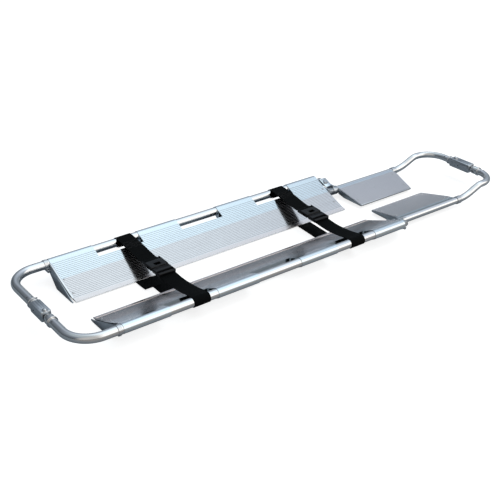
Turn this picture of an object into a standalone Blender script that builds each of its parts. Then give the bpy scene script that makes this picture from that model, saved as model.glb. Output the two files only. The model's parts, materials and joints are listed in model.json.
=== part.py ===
"""Two-piece scoop stretcher with a telescoping, folding foot section.

Metres, +Z up. +X runs from the head end to the foot end, and the left half is on +Y.
The origin is the centre of the rectangle that the stretcher stands on.
Each half is a rail tube, a hollow blade wrapped round it, a head loop, a slide tube in the
blade, and a foot section hinged to the slide. Two couplings join the halves.
"""

import math

import bmesh
import bpy
from mathutils import Matrix, Vector

# ---- driving dimensions ------------------------------------------------------------------

HALF_LENGTH = 0.7985        # head crossbar axis to foot crossbar axis, halved
RAIL_Y = 0.2060             # rail axis from the centre plane
RAIL_Z = 0.0520             # rail axis above the ground
TUBE_R = 0.0128             # rail and head loop tube
TUBE_WALL = 0.0016
GAP = 0.0003                # between pieces that touch
SLEEVE_R = TUBE_R + GAP + 0.0011   # outside of the blade's sleeve on the rail

BLADE_HEAD = 0.1300         # stations along X, from the head crossbar axis
BLADE_FOOT = 1.1000
CREASE = (0.1330, 0.0351)   # blade profile, (distance from the centre plane, height)
RIB_FOOT = (0.0618, 0.0082)
LIP_EDGE = (0.0469, 0.0045)
LIP_THICK = 0.0018
KEEL_OUT = (0.1500, 0.0032)
SKIN = 0.0020

CHEEK_LEAN = 0.0055         # head cheek's foot stands this far in front of its top
CHEEK_TOP_Z = 0.0550
CHEEK_THICK = 0.0027
END_PLATE = (1.1004, 1.1022)

SLOT_FIRST = 0.2670         # hand and strap slots
SLOT_PITCH = 0.2820
SLOT_LENGTH = 0.1480
SLOT_INNER_Y = 0.1660

HEAD_BAR = 0.0060           # head crossbar's axis
HEAD_BEND_R = 0.0750        # tube bends, on the tube's axis
FOOT_BENDS_R = (0.0500, 0.0400, 0.0700)

FOOT_Y = 0.1494             # foot tube axis
FOOT_Z = 0.0242
FOOT_R = 0.0110
FOOT_TUBE_START = 1.1312
FOOT_JOINT = 1.4140         # where the straight tube meets the foot loop
RISE_START = 1.4480         # the loop rises to the height of the rails
RISE_END = 1.5160
FOLD_X = 1.1190             # fold hinge axis
FOLD_Z = 0.0460
SLIDE_BACK = 0.6800         # inner end of the slide tube
GUIDE_BACK = 0.7000
GUIDE_R = 0.0130

PLATE_HEAD = 1.1500         # foot plate
PLATE_FOOT = 1.4000
PLATE_TRIM = 1.3765         # foot end of its inner edge, and the slant of that end
PLATE_SLANT = 14.0
PLATE_INNER = (0.0230, 0.0143)

SOCKET_HALF = (0.0150, 0.0150)           # coupling socket, half width and half height
SOCKET_MOUTH_Y = -0.0430
HEAD_SOCKET_END = 0.0260
FOOT_SOCKET_END = 0.0440
PIVOT_Y = -0.0565
KNUCKLE_R = 0.0132
KNUCKLE_SEAT = -0.0685      # ends of the four crossbar tubes, in their sockets
HEAD_SEAT = 0.0050
FOOT_SEAT = 0.0400
TONGUE_HALF = (0.0075, 0.0055)
CAVITY_HALF = (0.0098, 0.0065)
BUTTON_R = 0.0063
BUTTON_SHAFT_R = 0.0038

STRAP_WIDTH = 0.0500
STRAP_THICK = 0.0015
STRAP_WRAP_R = TUBE_R + 0.0004 + STRAP_THICK / 2
STRAP_FLOOR = 0.0014

SIDES = {"left": 1, "right": -1}
ALUMINIUM = ((0.80, 0.83, 0.86), 0.28, 1.0)
SHEET = ((0.66, 0.70, 0.74), 0.38, 1.0)
CASTING = ((0.42, 0.46, 0.49), 0.45, 1.0)
STEEL = ((0.72, 0.72, 0.72), 0.25, 1.0)
BLACK_PLASTIC = ((0.02, 0.02, 0.022), 0.45, 0.0)
WEBBING = ((0.012, 0.012, 0.014), 0.85, 0.0)

ALONG_X = Matrix.Rotation(math.pi / 2, 4, "Y")
ALONG_Y = Matrix.Rotation(-math.pi / 2, 4, "X")
ALONG_Z = Matrix.Identity(4)


# ---- scene and materials -----------------------------------------------------------------

for old in list(bpy.data.objects):
    bpy.data.objects.remove(old, do_unlink=True)

PARTS = bpy.data.collections.new("scoop_stretcher")
CUTTERS = bpy.data.collections.new("cutters")
bpy.context.scene.collection.children.link(PARTS)
bpy.context.scene.collection.children.link(CUTTERS)


def material(name, look):
    """A plain Principled material for one sub-part."""
    colour, roughness, metallic = look
    made = bpy.data.materials.new(name)
    made.use_nodes = True
    shader = made.node_tree.nodes["Principled BSDF"]
    shader.inputs["Base Color"].default_value = (*colour, 1.0)
    shader.inputs["Roughness"].default_value = roughness
    shader.inputs["Metallic"].default_value = metallic
    made.diffuse_color = (*colour, 1.0)
    return made


def station(distance):
    """World X of a distance from the head crossbar axis."""
    return distance - HALF_LENGTH


def dress(made, look):
    """Give a finished shape its material, with round faces shaded smooth."""
    made.data.materials.clear()
    made.data.materials.append(material(made.name, look))
    made.data.shade_smooth()
    made.data.set_sharp_from_angle(angle=math.radians(35))
    return made


def add_object(name, mesh, collection=PARTS, look=None):
    """Link a mesh as an object, and dress it if it is finished."""
    made = bpy.data.objects.new(name, mesh)
    collection.objects.link(made)
    if look is not None:
        dress(made, look)
    if collection is CUTTERS:
        made.hide_render = True
        made.display_type = "WIRE"
    return made


def set_origin(made, point):
    """Move an object's origin to a world point without moving its shape."""
    target = Vector(point)
    made.data.transform(Matrix.Translation(made.location - target))
    made.location = target
    return made


def finish_bmesh(bm, name):
    mesh = bpy.data.meshes.new(name)
    bm.to_mesh(mesh)
    bm.free()
    return mesh


def mesh_from_curve(curve, name):
    """Turn a curve's evaluated shape into a welded mesh."""
    holder = bpy.data.objects.new(name + "_curve", curve)
    bpy.context.scene.collection.objects.link(holder)
    bpy.context.view_layer.update()
    evaluated = holder.evaluated_get(bpy.context.evaluated_depsgraph_get())
    mesh = bpy.data.meshes.new_from_object(evaluated)
    bpy.data.objects.remove(holder, do_unlink=True)
    bpy.data.curves.remove(curve)
    bm = bmesh.new()
    bm.from_mesh(mesh)
    bmesh.ops.remove_doubles(bm, verts=bm.verts, dist=1e-6)
    bmesh.ops.recalc_face_normals(bm, faces=bm.faces)
    bm.to_mesh(mesh)
    bm.free()
    mesh.name = name
    return mesh


# ---- shapes ------------------------------------------------------------------------------

def arc(centre, radius, start, end, count):
    """Points of an arc, angles in degrees."""
    points = []
    for index in range(count):
        angle = math.radians(start + (end - start) * index / (count - 1))
        points.append((centre[0] + radius * math.cos(angle),
                       centre[1] + radius * math.sin(angle)))
    return points


def circle(centre, radius, count=24):
    step = 360 / count
    return arc(centre, radius, 0, 360 - step, count)


def profile_mesh(name, loops, x0, x1, side=1):
    """Extrude closed (y, z) loops along X; loops after the first are holes."""
    curve = bpy.data.curves.new(name, "CURVE")
    curve.dimensions = "2D"
    curve.fill_mode = "BOTH"
    curve.extrude = (x1 - x0) / 2
    for loop in loops:
        spline = curve.splines.new("POLY")
        spline.points.add(len(loop) - 1)
        spline.use_cyclic_u = True
        for point, (y, z) in zip(spline.points, loop):
            point.co = (side * y, z, 0, 1)
    mesh = mesh_from_curve(curve, name)
    stand_up = Matrix.Rotation(math.pi / 2, 4, "Z") @ Matrix.Rotation(math.pi / 2, 4, "X")
    mesh.transform(Matrix.Translation(((x0 + x1) / 2, 0, 0)) @ stand_up)
    return mesh


def box_mesh(name, low, high, bevel=0.0):
    """A box between two corners, with rounded edges if a bevel is given."""
    bm = bmesh.new()
    bmesh.ops.create_cube(bm, size=1)
    size = Vector(high) - Vector(low)
    bmesh.ops.scale(bm, vec=size, verts=bm.verts)
    bmesh.ops.translate(bm, vec=(Vector(high) + Vector(low)) / 2, verts=bm.verts)
    if bevel:
        bmesh.ops.bevel(bm, geom=bm.edges[:], offset=bevel, segments=2,
                        profile=0.5, affect="EDGES", clamp_overlap=True)
    return finish_bmesh(bm, name)


def rod_mesh(name, centre, radius, length, axis=ALONG_Z, segments=24):
    """A cylinder about an axis through its centre."""
    bm = bmesh.new()
    bmesh.ops.create_cone(bm, cap_ends=True, segments=segments, radius1=radius,
                          radius2=radius, depth=length)
    bmesh.ops.transform(bm, matrix=Matrix.Translation(centre) @ axis, verts=bm.verts)
    return finish_bmesh(bm, name)


def dome_mesh(name, centre, radius, flatten=(1, 1, 1)):
    bm = bmesh.new()
    bmesh.ops.create_uvsphere(bm, u_segments=20, v_segments=12, radius=radius)
    bmesh.ops.scale(bm, vec=flatten, verts=bm.verts)
    bmesh.ops.translate(bm, vec=centre, verts=bm.verts)
    return finish_bmesh(bm, name)


def combine(made, mesh, operation):
    """Apply one exact Boolean with a mesh made for it."""
    tool = add_object(made.name + "_tool", mesh, CUTTERS)
    modifier = made.modifiers.new("combine", "BOOLEAN")
    modifier.operation = operation
    modifier.object = tool
    bpy.context.view_layer.update()
    evaluated = made.evaluated_get(bpy.context.evaluated_depsgraph_get())
    result = bpy.data.meshes.new_from_object(evaluated)
    made.modifiers.clear()
    made.data = result
    bpy.data.objects.remove(tool, do_unlink=True)
    return made


def cut(made, mesh):
    return combine(made, mesh, "DIFFERENCE")


def join(made, mesh):
    return combine(made, mesh, "UNION")


def ring(name, y, z, inner, outer, x0, x1, look):
    """A straight tube along X."""
    loops = [circle((y, z), outer), circle((y, z), inner)]
    return add_object(name, profile_mesh(name, loops, x0, x1), look=look)


def round_corner(before, corner, after, radius, count=7):
    """Points of a rounded corner in a path of straight runs."""
    inward = (Vector(before) - Vector(corner)).normalized()
    outward = (Vector(after) - Vector(corner)).normalized()
    half = inward.angle(outward) / 2
    reach = radius / math.tan(half)
    centre = Vector(corner) + (inward + outward).normalized() * (radius / math.sin(half))
    start = Vector(corner) + inward * reach - centre
    end = Vector(corner) + outward * reach - centre
    sweep = start.angle(end)
    points = []
    for index in range(count):
        share = index / (count - 1)
        blend = (math.sin((1 - share) * sweep) * start + math.sin(share * sweep) * end)
        points.append(centre + blend / math.sin(sweep))
    return points


def rounded_path(corners, radii):
    """A path through corners, each inner corner rounded by its radius."""
    points = [Vector(corners[0])]
    for index in range(1, len(corners) - 1):
        points += round_corner(corners[index - 1], corners[index], corners[index + 1],
                               radii[index - 1])
    points.append(Vector(corners[-1]))
    return points


def bent_tube(name, points, radius):
    """A hollow bent tube: an open bevelled curve made thick."""
    curve = bpy.data.curves.new(name, "CURVE")
    curve.dimensions = "3D"
    curve.bevel_depth = radius
    curve.bevel_resolution = 5
    spline = curve.splines.new("POLY")
    spline.points.add(len(points) - 1)
    for point, place in zip(spline.points, points):
        point.co = (*place, 1)
    made = add_object(name, mesh_from_curve(curve, name), look=ALUMINIUM)
    shell = made.modifiers.new("wall", "SOLIDIFY")
    shell.thickness = TUBE_WALL
    shell.offset = -1
    shell.use_even_offset = True
    return made


# ---- blade -------------------------------------------------------------------------------

def blade_outline():
    """Outer outline of the blade, counter-clockwise seen along +X."""
    rail = (RAIL_Y, RAIL_Z)
    reach = Vector(rail) - Vector(CREASE)
    upper = math.degrees(math.atan2(reach.y, reach.x) + math.asin(SLEEVE_R / reach.length)) + 90
    reach = Vector(rail) - Vector(KEEL_OUT)
    lower = math.degrees(math.atan2(reach.y, reach.x) - math.asin(SLEEVE_R / reach.length)) - 90
    outline = arc(rail, SLEEVE_R, lower, upper, 19)
    outline += [CREASE, RIB_FOOT, LIP_EDGE]
    outline += [(LIP_EDGE[0], LIP_EDGE[1] - LIP_THICK), (LIP_EDGE[0] + 0.008, KEEL_OUT[1])]
    outline += [KEEL_OUT]
    return outline


def along(line_start, line_end, y, drop):
    """Height of a line at y, lowered or raised by a skin thickness."""
    share = (y - line_start[0]) / (line_end[0] - line_start[0])
    return line_start[1] + share * (line_end[1] - line_start[1]) - drop


def touch_point(corner, over):
    """Where a flat skin from a corner touches the sleeve: over it (1) or under it (-1)."""
    reach = Vector((RAIL_Y, RAIL_Z)) - Vector(corner)
    angle = math.atan2(reach.y, reach.x) + over * math.asin(SLEEVE_R / reach.length)
    return (RAIL_Y - over * SLEEVE_R * math.sin(angle), RAIL_Z + over * SLEEVE_R * math.cos(angle))


def blade_hollows():
    """The long inner cavity, and the small one beside the rail."""
    top_out, low_out = touch_point(CREASE, 1), touch_point(KEEL_OUT, -1)
    drop = SKIN * 1.1
    web = SLOT_INNER_Y - 0.003
    main = [(web, along(CREASE, top_out, web, drop)), (CREASE[0], CREASE[1] - drop)]
    main += [(0.0740, along(RIB_FOOT, CREASE, 0.0740, drop)), (0.0740, KEEL_OUT[1] + SKIN)]
    main += [(KEEL_OUT[0] - 0.0010, KEEL_OUT[1] + SKIN)]
    main += [(web, along(KEEL_OUT, low_out, web, -1.2 * SKIN))]
    near, far = SLOT_INNER_Y + 0.003, 0.1870
    small = [(far, along(CREASE, top_out, far, drop)), (near, along(CREASE, top_out, near, drop))]
    small += [(near, along(KEEL_OUT, low_out, near, -1.2 * SKIN))]
    small += [(far, along(KEEL_OUT, low_out, far, -1.2 * SKIN))]
    return main, small


def make_blade(prefix, side):
    """The hollow blade with its rail sleeve, and slots that bare the rail as hand grips."""
    main, small = blade_hollows()
    bore = circle((RAIL_Y, RAIL_Z), TUBE_R + GAP)
    loops = [blade_outline(), bore, main, small]
    name = prefix + "_blade"
    mesh = profile_mesh(name, loops, station(BLADE_HEAD), station(BLADE_FOOT), side)
    blade = add_object(name, mesh)
    for index in range(3):
        first = station(SLOT_FIRST + index * SLOT_PITCH)
        edges = sorted((side * SLOT_INNER_Y, side * (RAIL_Y + 0.03)))
        low = (first, edges[0], -0.01)
        high = (first + SLOT_LENGTH, edges[1], 0.10)
        cut(blade, box_mesh("slot", low, high))
    return dress(blade, SHEET)


# ---- main section of a half --------------------------------------------------------------

def closing_outline():
    """Plate that closes a blade's end. Its lower corners are the feet of the stretcher."""
    outline = [(0.1880, 0.0548), (CREASE[0], CREASE[1] - 0.0020)]
    outline += [(RIB_FOOT[0] + 0.0020, RIB_FOOT[1] - 0.0012), (0.0500, 0.0040), (0.0520, 0.0014)]
    outline += [(0.0640, 0.0), (0.1480, 0.0), (0.1980, 0.0360), (0.1930, 0.0400)]
    return outline


def make_main_section(prefix, side):
    """Rail, blade, head loop and the fixed guide of one half."""
    y = side * RAIL_Y
    inner = TUBE_R - TUBE_WALL
    ring(prefix + "_rail_tube", y, RAIL_Z, inner, TUBE_R, station(0.1245), station(1.0980),
         ALUMINIUM)
    ring(prefix + "_rail_end_cap", y, RAIL_Z, 0.0040, TUBE_R, station(1.0984), station(1.1020),
         CASTING)
    ring(prefix + "_head_band", y, RAIL_Z, TUBE_R + GAP, TUBE_R + 0.0018, station(0.1150),
         station(0.1256), CASTING)
    make_blade(prefix, side)

    crossbar_end = KNUCKLE_SEAT if side < 0 else HEAD_SEAT + GAP
    corners = [(station(HEAD_BAR), crossbar_end, RAIL_Z), (station(HEAD_BAR), y, RAIL_Z),
               (station(0.1242), y, RAIL_Z)]
    bent_tube(prefix + "_head_loop", rounded_path(corners, [HEAD_BEND_R]), TUBE_R)

    closing = closing_outline()
    name = prefix + "_head_cheek"
    mesh = profile_mesh(name, [closing], station(BLADE_HEAD - CHEEK_THICK) - GAP,
                        station(BLADE_HEAD) - GAP, side)
    for vertex in mesh.vertices:
        vertex.co.x -= CHEEK_LEAN * max(0.0, 1 - vertex.co.z / CHEEK_TOP_Z)
    add_object(name, mesh, look=CASTING)

    opening = circle((FOOT_Y, FOOT_Z), FOOT_R + 0.0004)
    name = prefix + "_end_plate"
    mesh = profile_mesh(name, [closing, opening], station(END_PLATE[0]), station(END_PLATE[1]), side)
    add_object(name, mesh, look=CASTING)
    ring(prefix + "_guide_tube", side * FOOT_Y, FOOT_Z, FOOT_R + 0.0004, GUIDE_R,
         station(GUIDE_BACK), station(BLADE_FOOT), ALUMINIUM)


# ---- telescoping slide and fold hinge ----------------------------------------------------

def spread(side, y0, y1):
    """Two y values, mirrored to the half's side and in rising order."""
    return sorted((side * y0, side * y1))


def make_slide(prefix, side):
    """The slide tube and the carriage that holds the fixed half of the fold hinge."""
    ring(prefix + "_slide_tube", side * FOOT_Y, FOOT_Z, FOOT_R - TUBE_WALL, FOOT_R,
         station(SLIDE_BACK), station(1.1280), ALUMINIUM)
    back, wall, front = station(1.1040), station(1.1092), station(1.1280)
    name = prefix + "_carriage"
    web = [(0.1360, 0.0395), (0.1360, 0.0105), (0.1600, 0.0105), (0.1960, 0.0330)]
    web += [(0.2030, 0.0370), (0.2030, 0.0395)]
    made = add_object(name, profile_mesh(name, [web], back, wall, side))
    boss = rod_mesh(name, (station(1.1160), side * FOOT_Y, FOOT_Z), 0.0140, 0.0240, ALONG_X)
    join(made, boss)
    ear_low, ear_high = spread(side, 0.1902, 0.2030)
    join(made, box_mesh(name, (back, ear_low, 0.0310), (front - 0.009, ear_high, FOLD_Z + 0.009)))
    eye_centre = (station(FOLD_X), (ear_low + ear_high) / 2, FOLD_Z)
    join(made, rod_mesh(name, eye_centre, 0.0090, ear_high - ear_low, ALONG_Y))
    cut(made, rod_mesh(name, eye_centre, 0.0034, 0.05, ALONG_Y))
    cut(made, rod_mesh(name, (station(1.12), side * FOOT_Y, FOOT_Z), FOOT_R + GAP, 0.1, ALONG_X))
    lock = (station(FOLD_X - 0.0070), side * 0.20, FOLD_Z - 0.0105)
    cut(made, rod_mesh(name, lock, 0.0024, 0.05, ALONG_Y, 16))
    dress(made, CASTING)

    name = prefix + "_lock_knob"
    shaft_low, shaft_high = spread(side, 0.1906, 0.2050)
    centre = (lock[0], (shaft_low + shaft_high) / 2, lock[2])
    knob = add_object(name, rod_mesh(name, centre, 0.0020, shaft_high - shaft_low, ALONG_Y, 16))
    grip = rod_mesh(name, (lock[0], side * 0.2068, lock[2]), 0.0048, 0.0056, ALONG_Y, 16)
    join(knob, grip)
    dress(knob, STEEL)
    set_origin(knob, (lock[0], side * 0.2068, lock[2]))


def make_fold_hinge(prefix, side):
    """The leaf that turns with the foot section, and the hinge pin that goes with it."""
    name = prefix + "_fold_leaf"
    low_y, high_y = spread(side, 0.1660, 0.1896)
    hinge = (station(FOLD_X), (low_y + high_y) / 2, FOLD_Z)
    made = add_object(name, rod_mesh(name, hinge, 0.0090, high_y - low_y, ALONG_Y))
    join(made, box_mesh(name, (station(FOLD_X), low_y, FOLD_Z - 0.0090),
                        (station(1.1355), high_y, FOLD_Z - 0.0006)))
    arm = [(0.1440, FOLD_Z - 0.0012), (0.1440, 0.0155), (0.1600, 0.0155), (0.1893, 0.0340)]
    arm += [(0.1893, FOLD_Z - 0.0012)]
    join(made, profile_mesh(name, [arm], station(1.1305), station(1.1352), side))
    boss = (station(1.1395), side * FOOT_Y, FOOT_Z)
    join(made, rod_mesh(name, boss, 0.0140, 0.0180, ALONG_X))
    cut(made, rod_mesh(name, boss, FOOT_R + GAP, 0.05, ALONG_X))
    cut(made, rod_mesh(name, hinge, 0.0034, 0.05, ALONG_Y))
    dress(made, CASTING)
    set_origin(made, hinge)

    name = prefix + "_hinge_pin"
    pin_low, pin_high = spread(side, 0.1640, 0.2036)
    centre = (hinge[0], (pin_low + pin_high) / 2, hinge[2])
    pin = add_object(name, rod_mesh(name, centre, 0.0030, pin_high - pin_low, ALONG_Y, 16))
    join(pin, rod_mesh(name, (hinge[0], side * 0.2049, hinge[2]), 0.0078, 0.0026, ALONG_Y))
    dress(pin, STEEL)
    set_origin(pin, hinge)


# ---- foot section ------------------------------------------------------------------------

def plate_loops():
    """Foot plate profile: a shallow hollow wedge that ends against the tube."""
    edge_y, edge_z = PLATE_INNER
    seat = arc((FOOT_Y, FOOT_Z), FOOT_R + GAP, 112, 215, 9)
    outer = [(edge_y, edge_z), (edge_y, edge_z - 0.0045), (edge_y + 0.010, edge_z - 0.0060)]
    outer += [(0.1080, 0.0105)] + seat[::-1]
    top_out = seat[0]
    skin = SKIN * 1.1
    inner = [(0.0420, along((edge_y, edge_z), top_out, 0.0420, skin))]
    inner += [(0.0420, edge_z - 0.0040), (0.1075, 0.0128), (0.1310, 0.0178)]
    inner += [(0.1330, along((edge_y, edge_z), top_out, 0.1330, skin))]
    return outer, inner


def cheek_outline():
    """Foot plate end cheek: its outline kept just inside the plate's."""
    edge_y, edge_z = PLATE_INNER
    outer, _ = plate_loops()
    top_out = outer[-1]
    lower = 0.0012
    points = [(edge_y + 0.004, edge_z - 0.0006), (edge_y + 0.004, edge_z - 0.0050)]
    points += [(0.1080, 0.0085), (0.1360, 0.0140)]
    points += [(0.1345, along((edge_y, edge_z), top_out, 0.1345, lower))]
    return points


def make_foot_section(prefix, side):
    """Foot tube, foot loop and foot plate of one half."""
    y = side * FOOT_Y
    ring(prefix + "_foot_tube", y, FOOT_Z, FOOT_R - TUBE_WALL, FOOT_R,
         station(FOOT_TUBE_START), station(FOOT_JOINT), ALUMINIUM)
    ring(prefix + "_foot_band", y, FOOT_Z, FOOT_R + GAP, FOOT_R + 0.0018,
         station(FOOT_JOINT - 0.0090), station(FOOT_JOINT + 0.0090), CASTING)

    crossbar_end = KNUCKLE_SEAT if side < 0 else FOOT_SEAT + GAP
    last = 2 * HALF_LENGTH
    corners = [(station(FOOT_JOINT + GAP), y, FOOT_Z), (station(RISE_START), y, FOOT_Z),
               (station(RISE_END), y, RAIL_Z), (station(last), y, RAIL_Z),
               (station(last), crossbar_end, RAIL_Z)]
    bent_tube(prefix + "_foot_loop", rounded_path(corners, FOOT_BENDS_R), FOOT_R)

    outer, inner = plate_loops()
    name = prefix + "_foot_plate"
    mesh = profile_mesh(name, [outer, inner], station(PLATE_HEAD), station(PLATE_FOOT), side)
    plate = add_object(name, mesh)
    trim = box_mesh(name, (0, -0.20, -0.05), (0.10, 0.20, 0.10))
    trim.transform(Matrix.Rotation(-side * math.radians(PLATE_SLANT), 4, "Z"))
    trim.transform(Matrix.Translation((station(PLATE_TRIM), side * PLATE_INNER[0], 0)))
    cut(plate, trim)
    dress(plate, SHEET)
    name = prefix + "_foot_plate_cheek"
    mesh = profile_mesh(name, [cheek_outline()], station(PLATE_HEAD) - 0.0018,
                        station(PLATE_HEAD) - GAP, side)
    add_object(name, mesh, look=CASTING)


# ---- couplings ---------------------------------------------------------------------------

def make_socket(prefix, x, end_y, button_y, tongue_tip, bore_start, tube_radius):
    """The coupling socket: fixed to the left half's crossbar, open towards the right half."""
    half_x, half_z = SOCKET_HALF
    name = prefix + "_socket"
    low = (x - half_x, SOCKET_MOUTH_Y, RAIL_Z - half_z)
    high = (x + half_x, end_y, RAIL_Z + half_z)
    made = add_object(name, box_mesh(name, low, high, 0.0040))
    collar = (x, end_y + 0.0040, RAIL_Z)
    join(made, rod_mesh(name, collar, tube_radius + 0.0018, 0.0200, ALONG_Y))
    wide, tall = CAVITY_HALF
    cavity = box_mesh(name, (x - wide, SOCKET_MOUTH_Y - 0.01, RAIL_Z - tall),
                      (x + wide, tongue_tip + 0.0030, RAIL_Z + tall))
    cut(made, cavity)
    bore_end = end_y + 0.03
    bore_centre = (x, (bore_start + bore_end) / 2, RAIL_Z)
    cut(made, rod_mesh(name, bore_centre, tube_radius + GAP, bore_end - bore_start, ALONG_Y))
    cut(made, rod_mesh(name, (x, button_y, RAIL_Z + 0.012), BUTTON_SHAFT_R + 0.0004, 0.02))
    cut(made, rod_mesh(name, (x, button_y, RAIL_Z + 0.0185), BUTTON_R + 0.0005, 0.02))
    dress(made, CASTING)


def make_tongue(prefix, x, tongue_tip):
    """The tongue: a bar in the socket, a neck, and an eye for the knuckle's pin."""
    wide, tall = TONGUE_HALF
    name = prefix + "_tongue"
    shoulder_y = SOCKET_MOUTH_Y - 0.0005
    low = (x - wide, shoulder_y, RAIL_Z - tall)
    made = add_object(name, box_mesh(name, low, (x + wide, tongue_tip, RAIL_Z + tall)))
    neck = box_mesh(name, (x - 0.0060, PIVOT_Y, RAIL_Z - 0.0033),
                    (x + 0.0060, shoulder_y + 0.002, RAIL_Z + 0.0033))
    join(made, neck)
    join(made, rod_mesh(name, (x, PIVOT_Y, RAIL_Z), 0.0075, 0.0066))
    cut(made, rod_mesh(name, (x, PIVOT_Y, RAIL_Z), 0.0033, 0.03, segments=16))
    groove_half = BUTTON_SHAFT_R + 0.0008
    groove = box_mesh(name, (x - groove_half, shoulder_y - 0.001, RAIL_Z + 0.0022),
                      (x + groove_half, tongue_tip + 0.01, RAIL_Z + 0.02))
    cut(made, groove)
    dress(made, STEEL)


def make_knuckle(prefix, x, tube_radius):
    """The ball-ended knuckle on the right half's crossbar, and the pin through it."""
    name = prefix + "_knuckle"
    made = add_object(name, dome_mesh(name, (x, PIVOT_Y, RAIL_Z), KNUCKLE_R))
    sleeve = (x, PIVOT_Y - 0.0105, RAIL_Z)
    join(made, rod_mesh(name, sleeve, tube_radius + 0.0020, 0.0200, ALONG_Y))
    cut(made, box_mesh(name, (x - 0.03, PIVOT_Y - 0.0090, RAIL_Z - 0.0040),
                       (x + 0.03, PIVOT_Y + 0.03, RAIL_Z + 0.0040)))
    cut(made, rod_mesh(name, (x, PIVOT_Y, RAIL_Z), 0.0033, 0.05, segments=16))
    bore = (x, KNUCKLE_SEAT + GAP - 0.0100, RAIL_Z)
    cut(made, rod_mesh(name, bore, tube_radius + GAP, 0.0200, ALONG_Y))
    dress(made, ALUMINIUM)
    name = prefix + "_knuckle_pin"
    pin = rod_mesh(name, (x, PIVOT_Y, RAIL_Z), 0.0030, 0.0240, segments=16)
    set_origin(add_object(name, pin, look=STEEL), (x, PIVOT_Y, RAIL_Z))


def make_button(prefix, x, y):
    """The release button, and the coil spring under its cap."""
    name = prefix + "_button"
    base = RAIL_Z + 0.0122
    made = add_object(name, rod_mesh(name, (x, y, base + 0.0022), BUTTON_R, 0.0044))
    join(made, dome_mesh(name, (x, y, base + 0.0040), BUTTON_R - 0.0002, (1, 1, 0.6)))
    shaft_foot = RAIL_Z + 0.0060
    shaft = rod_mesh(name, (x, y, (shaft_foot + base + 0.002) / 2), BUTTON_SHAFT_R,
                     base + 0.002 - shaft_foot)
    join(made, shaft)
    dress(made, STEEL)
    set_origin(made, (x, y, base))

    name = prefix + "_button_spring"
    turns, per_turn, wire = 3, 10, 0.00035
    low, high = RAIL_Z + 0.0085 + GAP + wire, base - GAP - wire
    curve = bpy.data.curves.new(name, "CURVE")
    curve.dimensions = "3D"
    curve.bevel_depth = wire
    curve.bevel_resolution = 2
    curve.use_fill_caps = True
    spline = curve.splines.new("POLY")
    count = turns * per_turn
    spline.points.add(count)
    for index, point in enumerate(spline.points):
        angle = 2 * math.pi * index / per_turn
        height = low + (high - low) * index / count
        point.co = (x + 0.0052 * math.cos(angle), y + 0.0052 * math.sin(angle), height, 1)
    add_object(name, mesh_from_curve(curve, name), look=STEEL)


def make_couplings():
    for prefix, x, end_y, button_y, tip, bore_start, tube_radius in (
            ("head", station(HEAD_BAR), HEAD_SOCKET_END, -0.0345, -0.0120, HEAD_SEAT, TUBE_R),
            ("foot", station(2 * HALF_LENGTH), FOOT_SOCKET_END, 0.0280, 0.0340, FOOT_SEAT,
             FOOT_R)):
        make_socket(prefix, x, end_y, button_y, tip, bore_start, tube_radius)
        make_tongue(prefix, x, tip)
        make_knuckle(prefix, x, tube_radius)
        make_button(prefix, x, button_y)


# ---- straps ------------------------------------------------------------------------------

def smooth_run(points, per_span=4):
    """A Catmull-Rom curve through a few hand-set points."""
    padded = [points[0]] + list(points) + [points[-1]]
    curve = []
    for index in range(len(points) - 1):
        p0, p1, p2, p3 = (Vector(p) for p in padded[index:index + 4])
        for step in range(per_span):
            t = step / per_span
            curve.append(0.5 * ((2 * p1) + (p2 - p0) * t + (2 * p0 - 5 * p1 + 4 * p2 - p3) * t * t
                                + (3 * p1 - p0 - 3 * p2 + p3) * t ** 3))
    curve.append(Vector(points[-1]))
    return curve


def ribbon(path):
    """The closed outline of a strip of webbing that follows a path."""
    above, below = [], []
    for index, point in enumerate(path):
        before = path[max(index - 1, 0)]
        after = path[min(index + 1, len(path) - 1)]
        heading = (Vector(after) - Vector(before)).normalized()
        normal = Vector((-heading.y, heading.x)) * (STRAP_THICK / 2)
        above.append(Vector(point) + normal)
        below.append(Vector(point) - normal)
    return [tuple(p) for p in above + below[::-1]]


def far_webbing_path():
    """From the sewn loop round the left rail, over the top, to the buckle's bar."""
    rail = (RAIL_Y, RAIL_Z)
    loop = [Vector(p) for p in arc(rail, STRAP_WRAP_R, -150, 96, 15)]
    run = smooth_run([(0.1750, 0.0648), (0.1330, 0.0612), (0.0970, 0.0566), (0.0640, 0.0535)])
    tuck = [Vector((0.0530, 0.0560)), Vector((0.0490, 0.0566)), Vector((0.0370, 0.0566))]
    return loop + run + tuck


def near_webbing_path():
    """From the buckle over and round the right rail, then under both blades."""
    rail = (RAIL_Y, RAIL_Z)
    run = smooth_run([(0.0310, 0.0525), (0.0700, 0.0500), (0.1060, 0.0505), (0.1500, 0.0555),
                      (0.1850, 0.0623)])
    wrap = [Vector(p) for p in arc(rail, STRAP_WRAP_R, 108, -118, 16)]
    under = [Vector((0.1680, 0.0125)), Vector((0.1530, 0.0024)), Vector((0.1470, STRAP_FLOOR))]
    floor = [Vector((0.0900, STRAP_FLOOR)), Vector((0.0, STRAP_FLOOR)),
             Vector((-0.1300, STRAP_FLOOR))]
    return run + wrap + under + floor


def lay_on_strap(made, centre_near, centre_far):
    """Move a piece made about X = 0 to its strap's line across the stretcher."""
    slant = (centre_far - centre_near) / (2 * RAIL_Y)
    middle = station((centre_far + centre_near) / 2)
    for vertex in made.data.vertices:
        vertex.co.x += middle + slant * vertex.co.y
    return made


def make_webbing(name, path, side, centre_near, centre_far):
    """Extrude a ribbon across its width, and slant it between its two rail positions."""
    half = STRAP_WIDTH / 2
    mesh = profile_mesh(name, [ribbon(path)], -half, half, side)
    made = add_object(name, mesh, look=WEBBING)
    return lay_on_strap(made, centre_near, centre_far)


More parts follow.
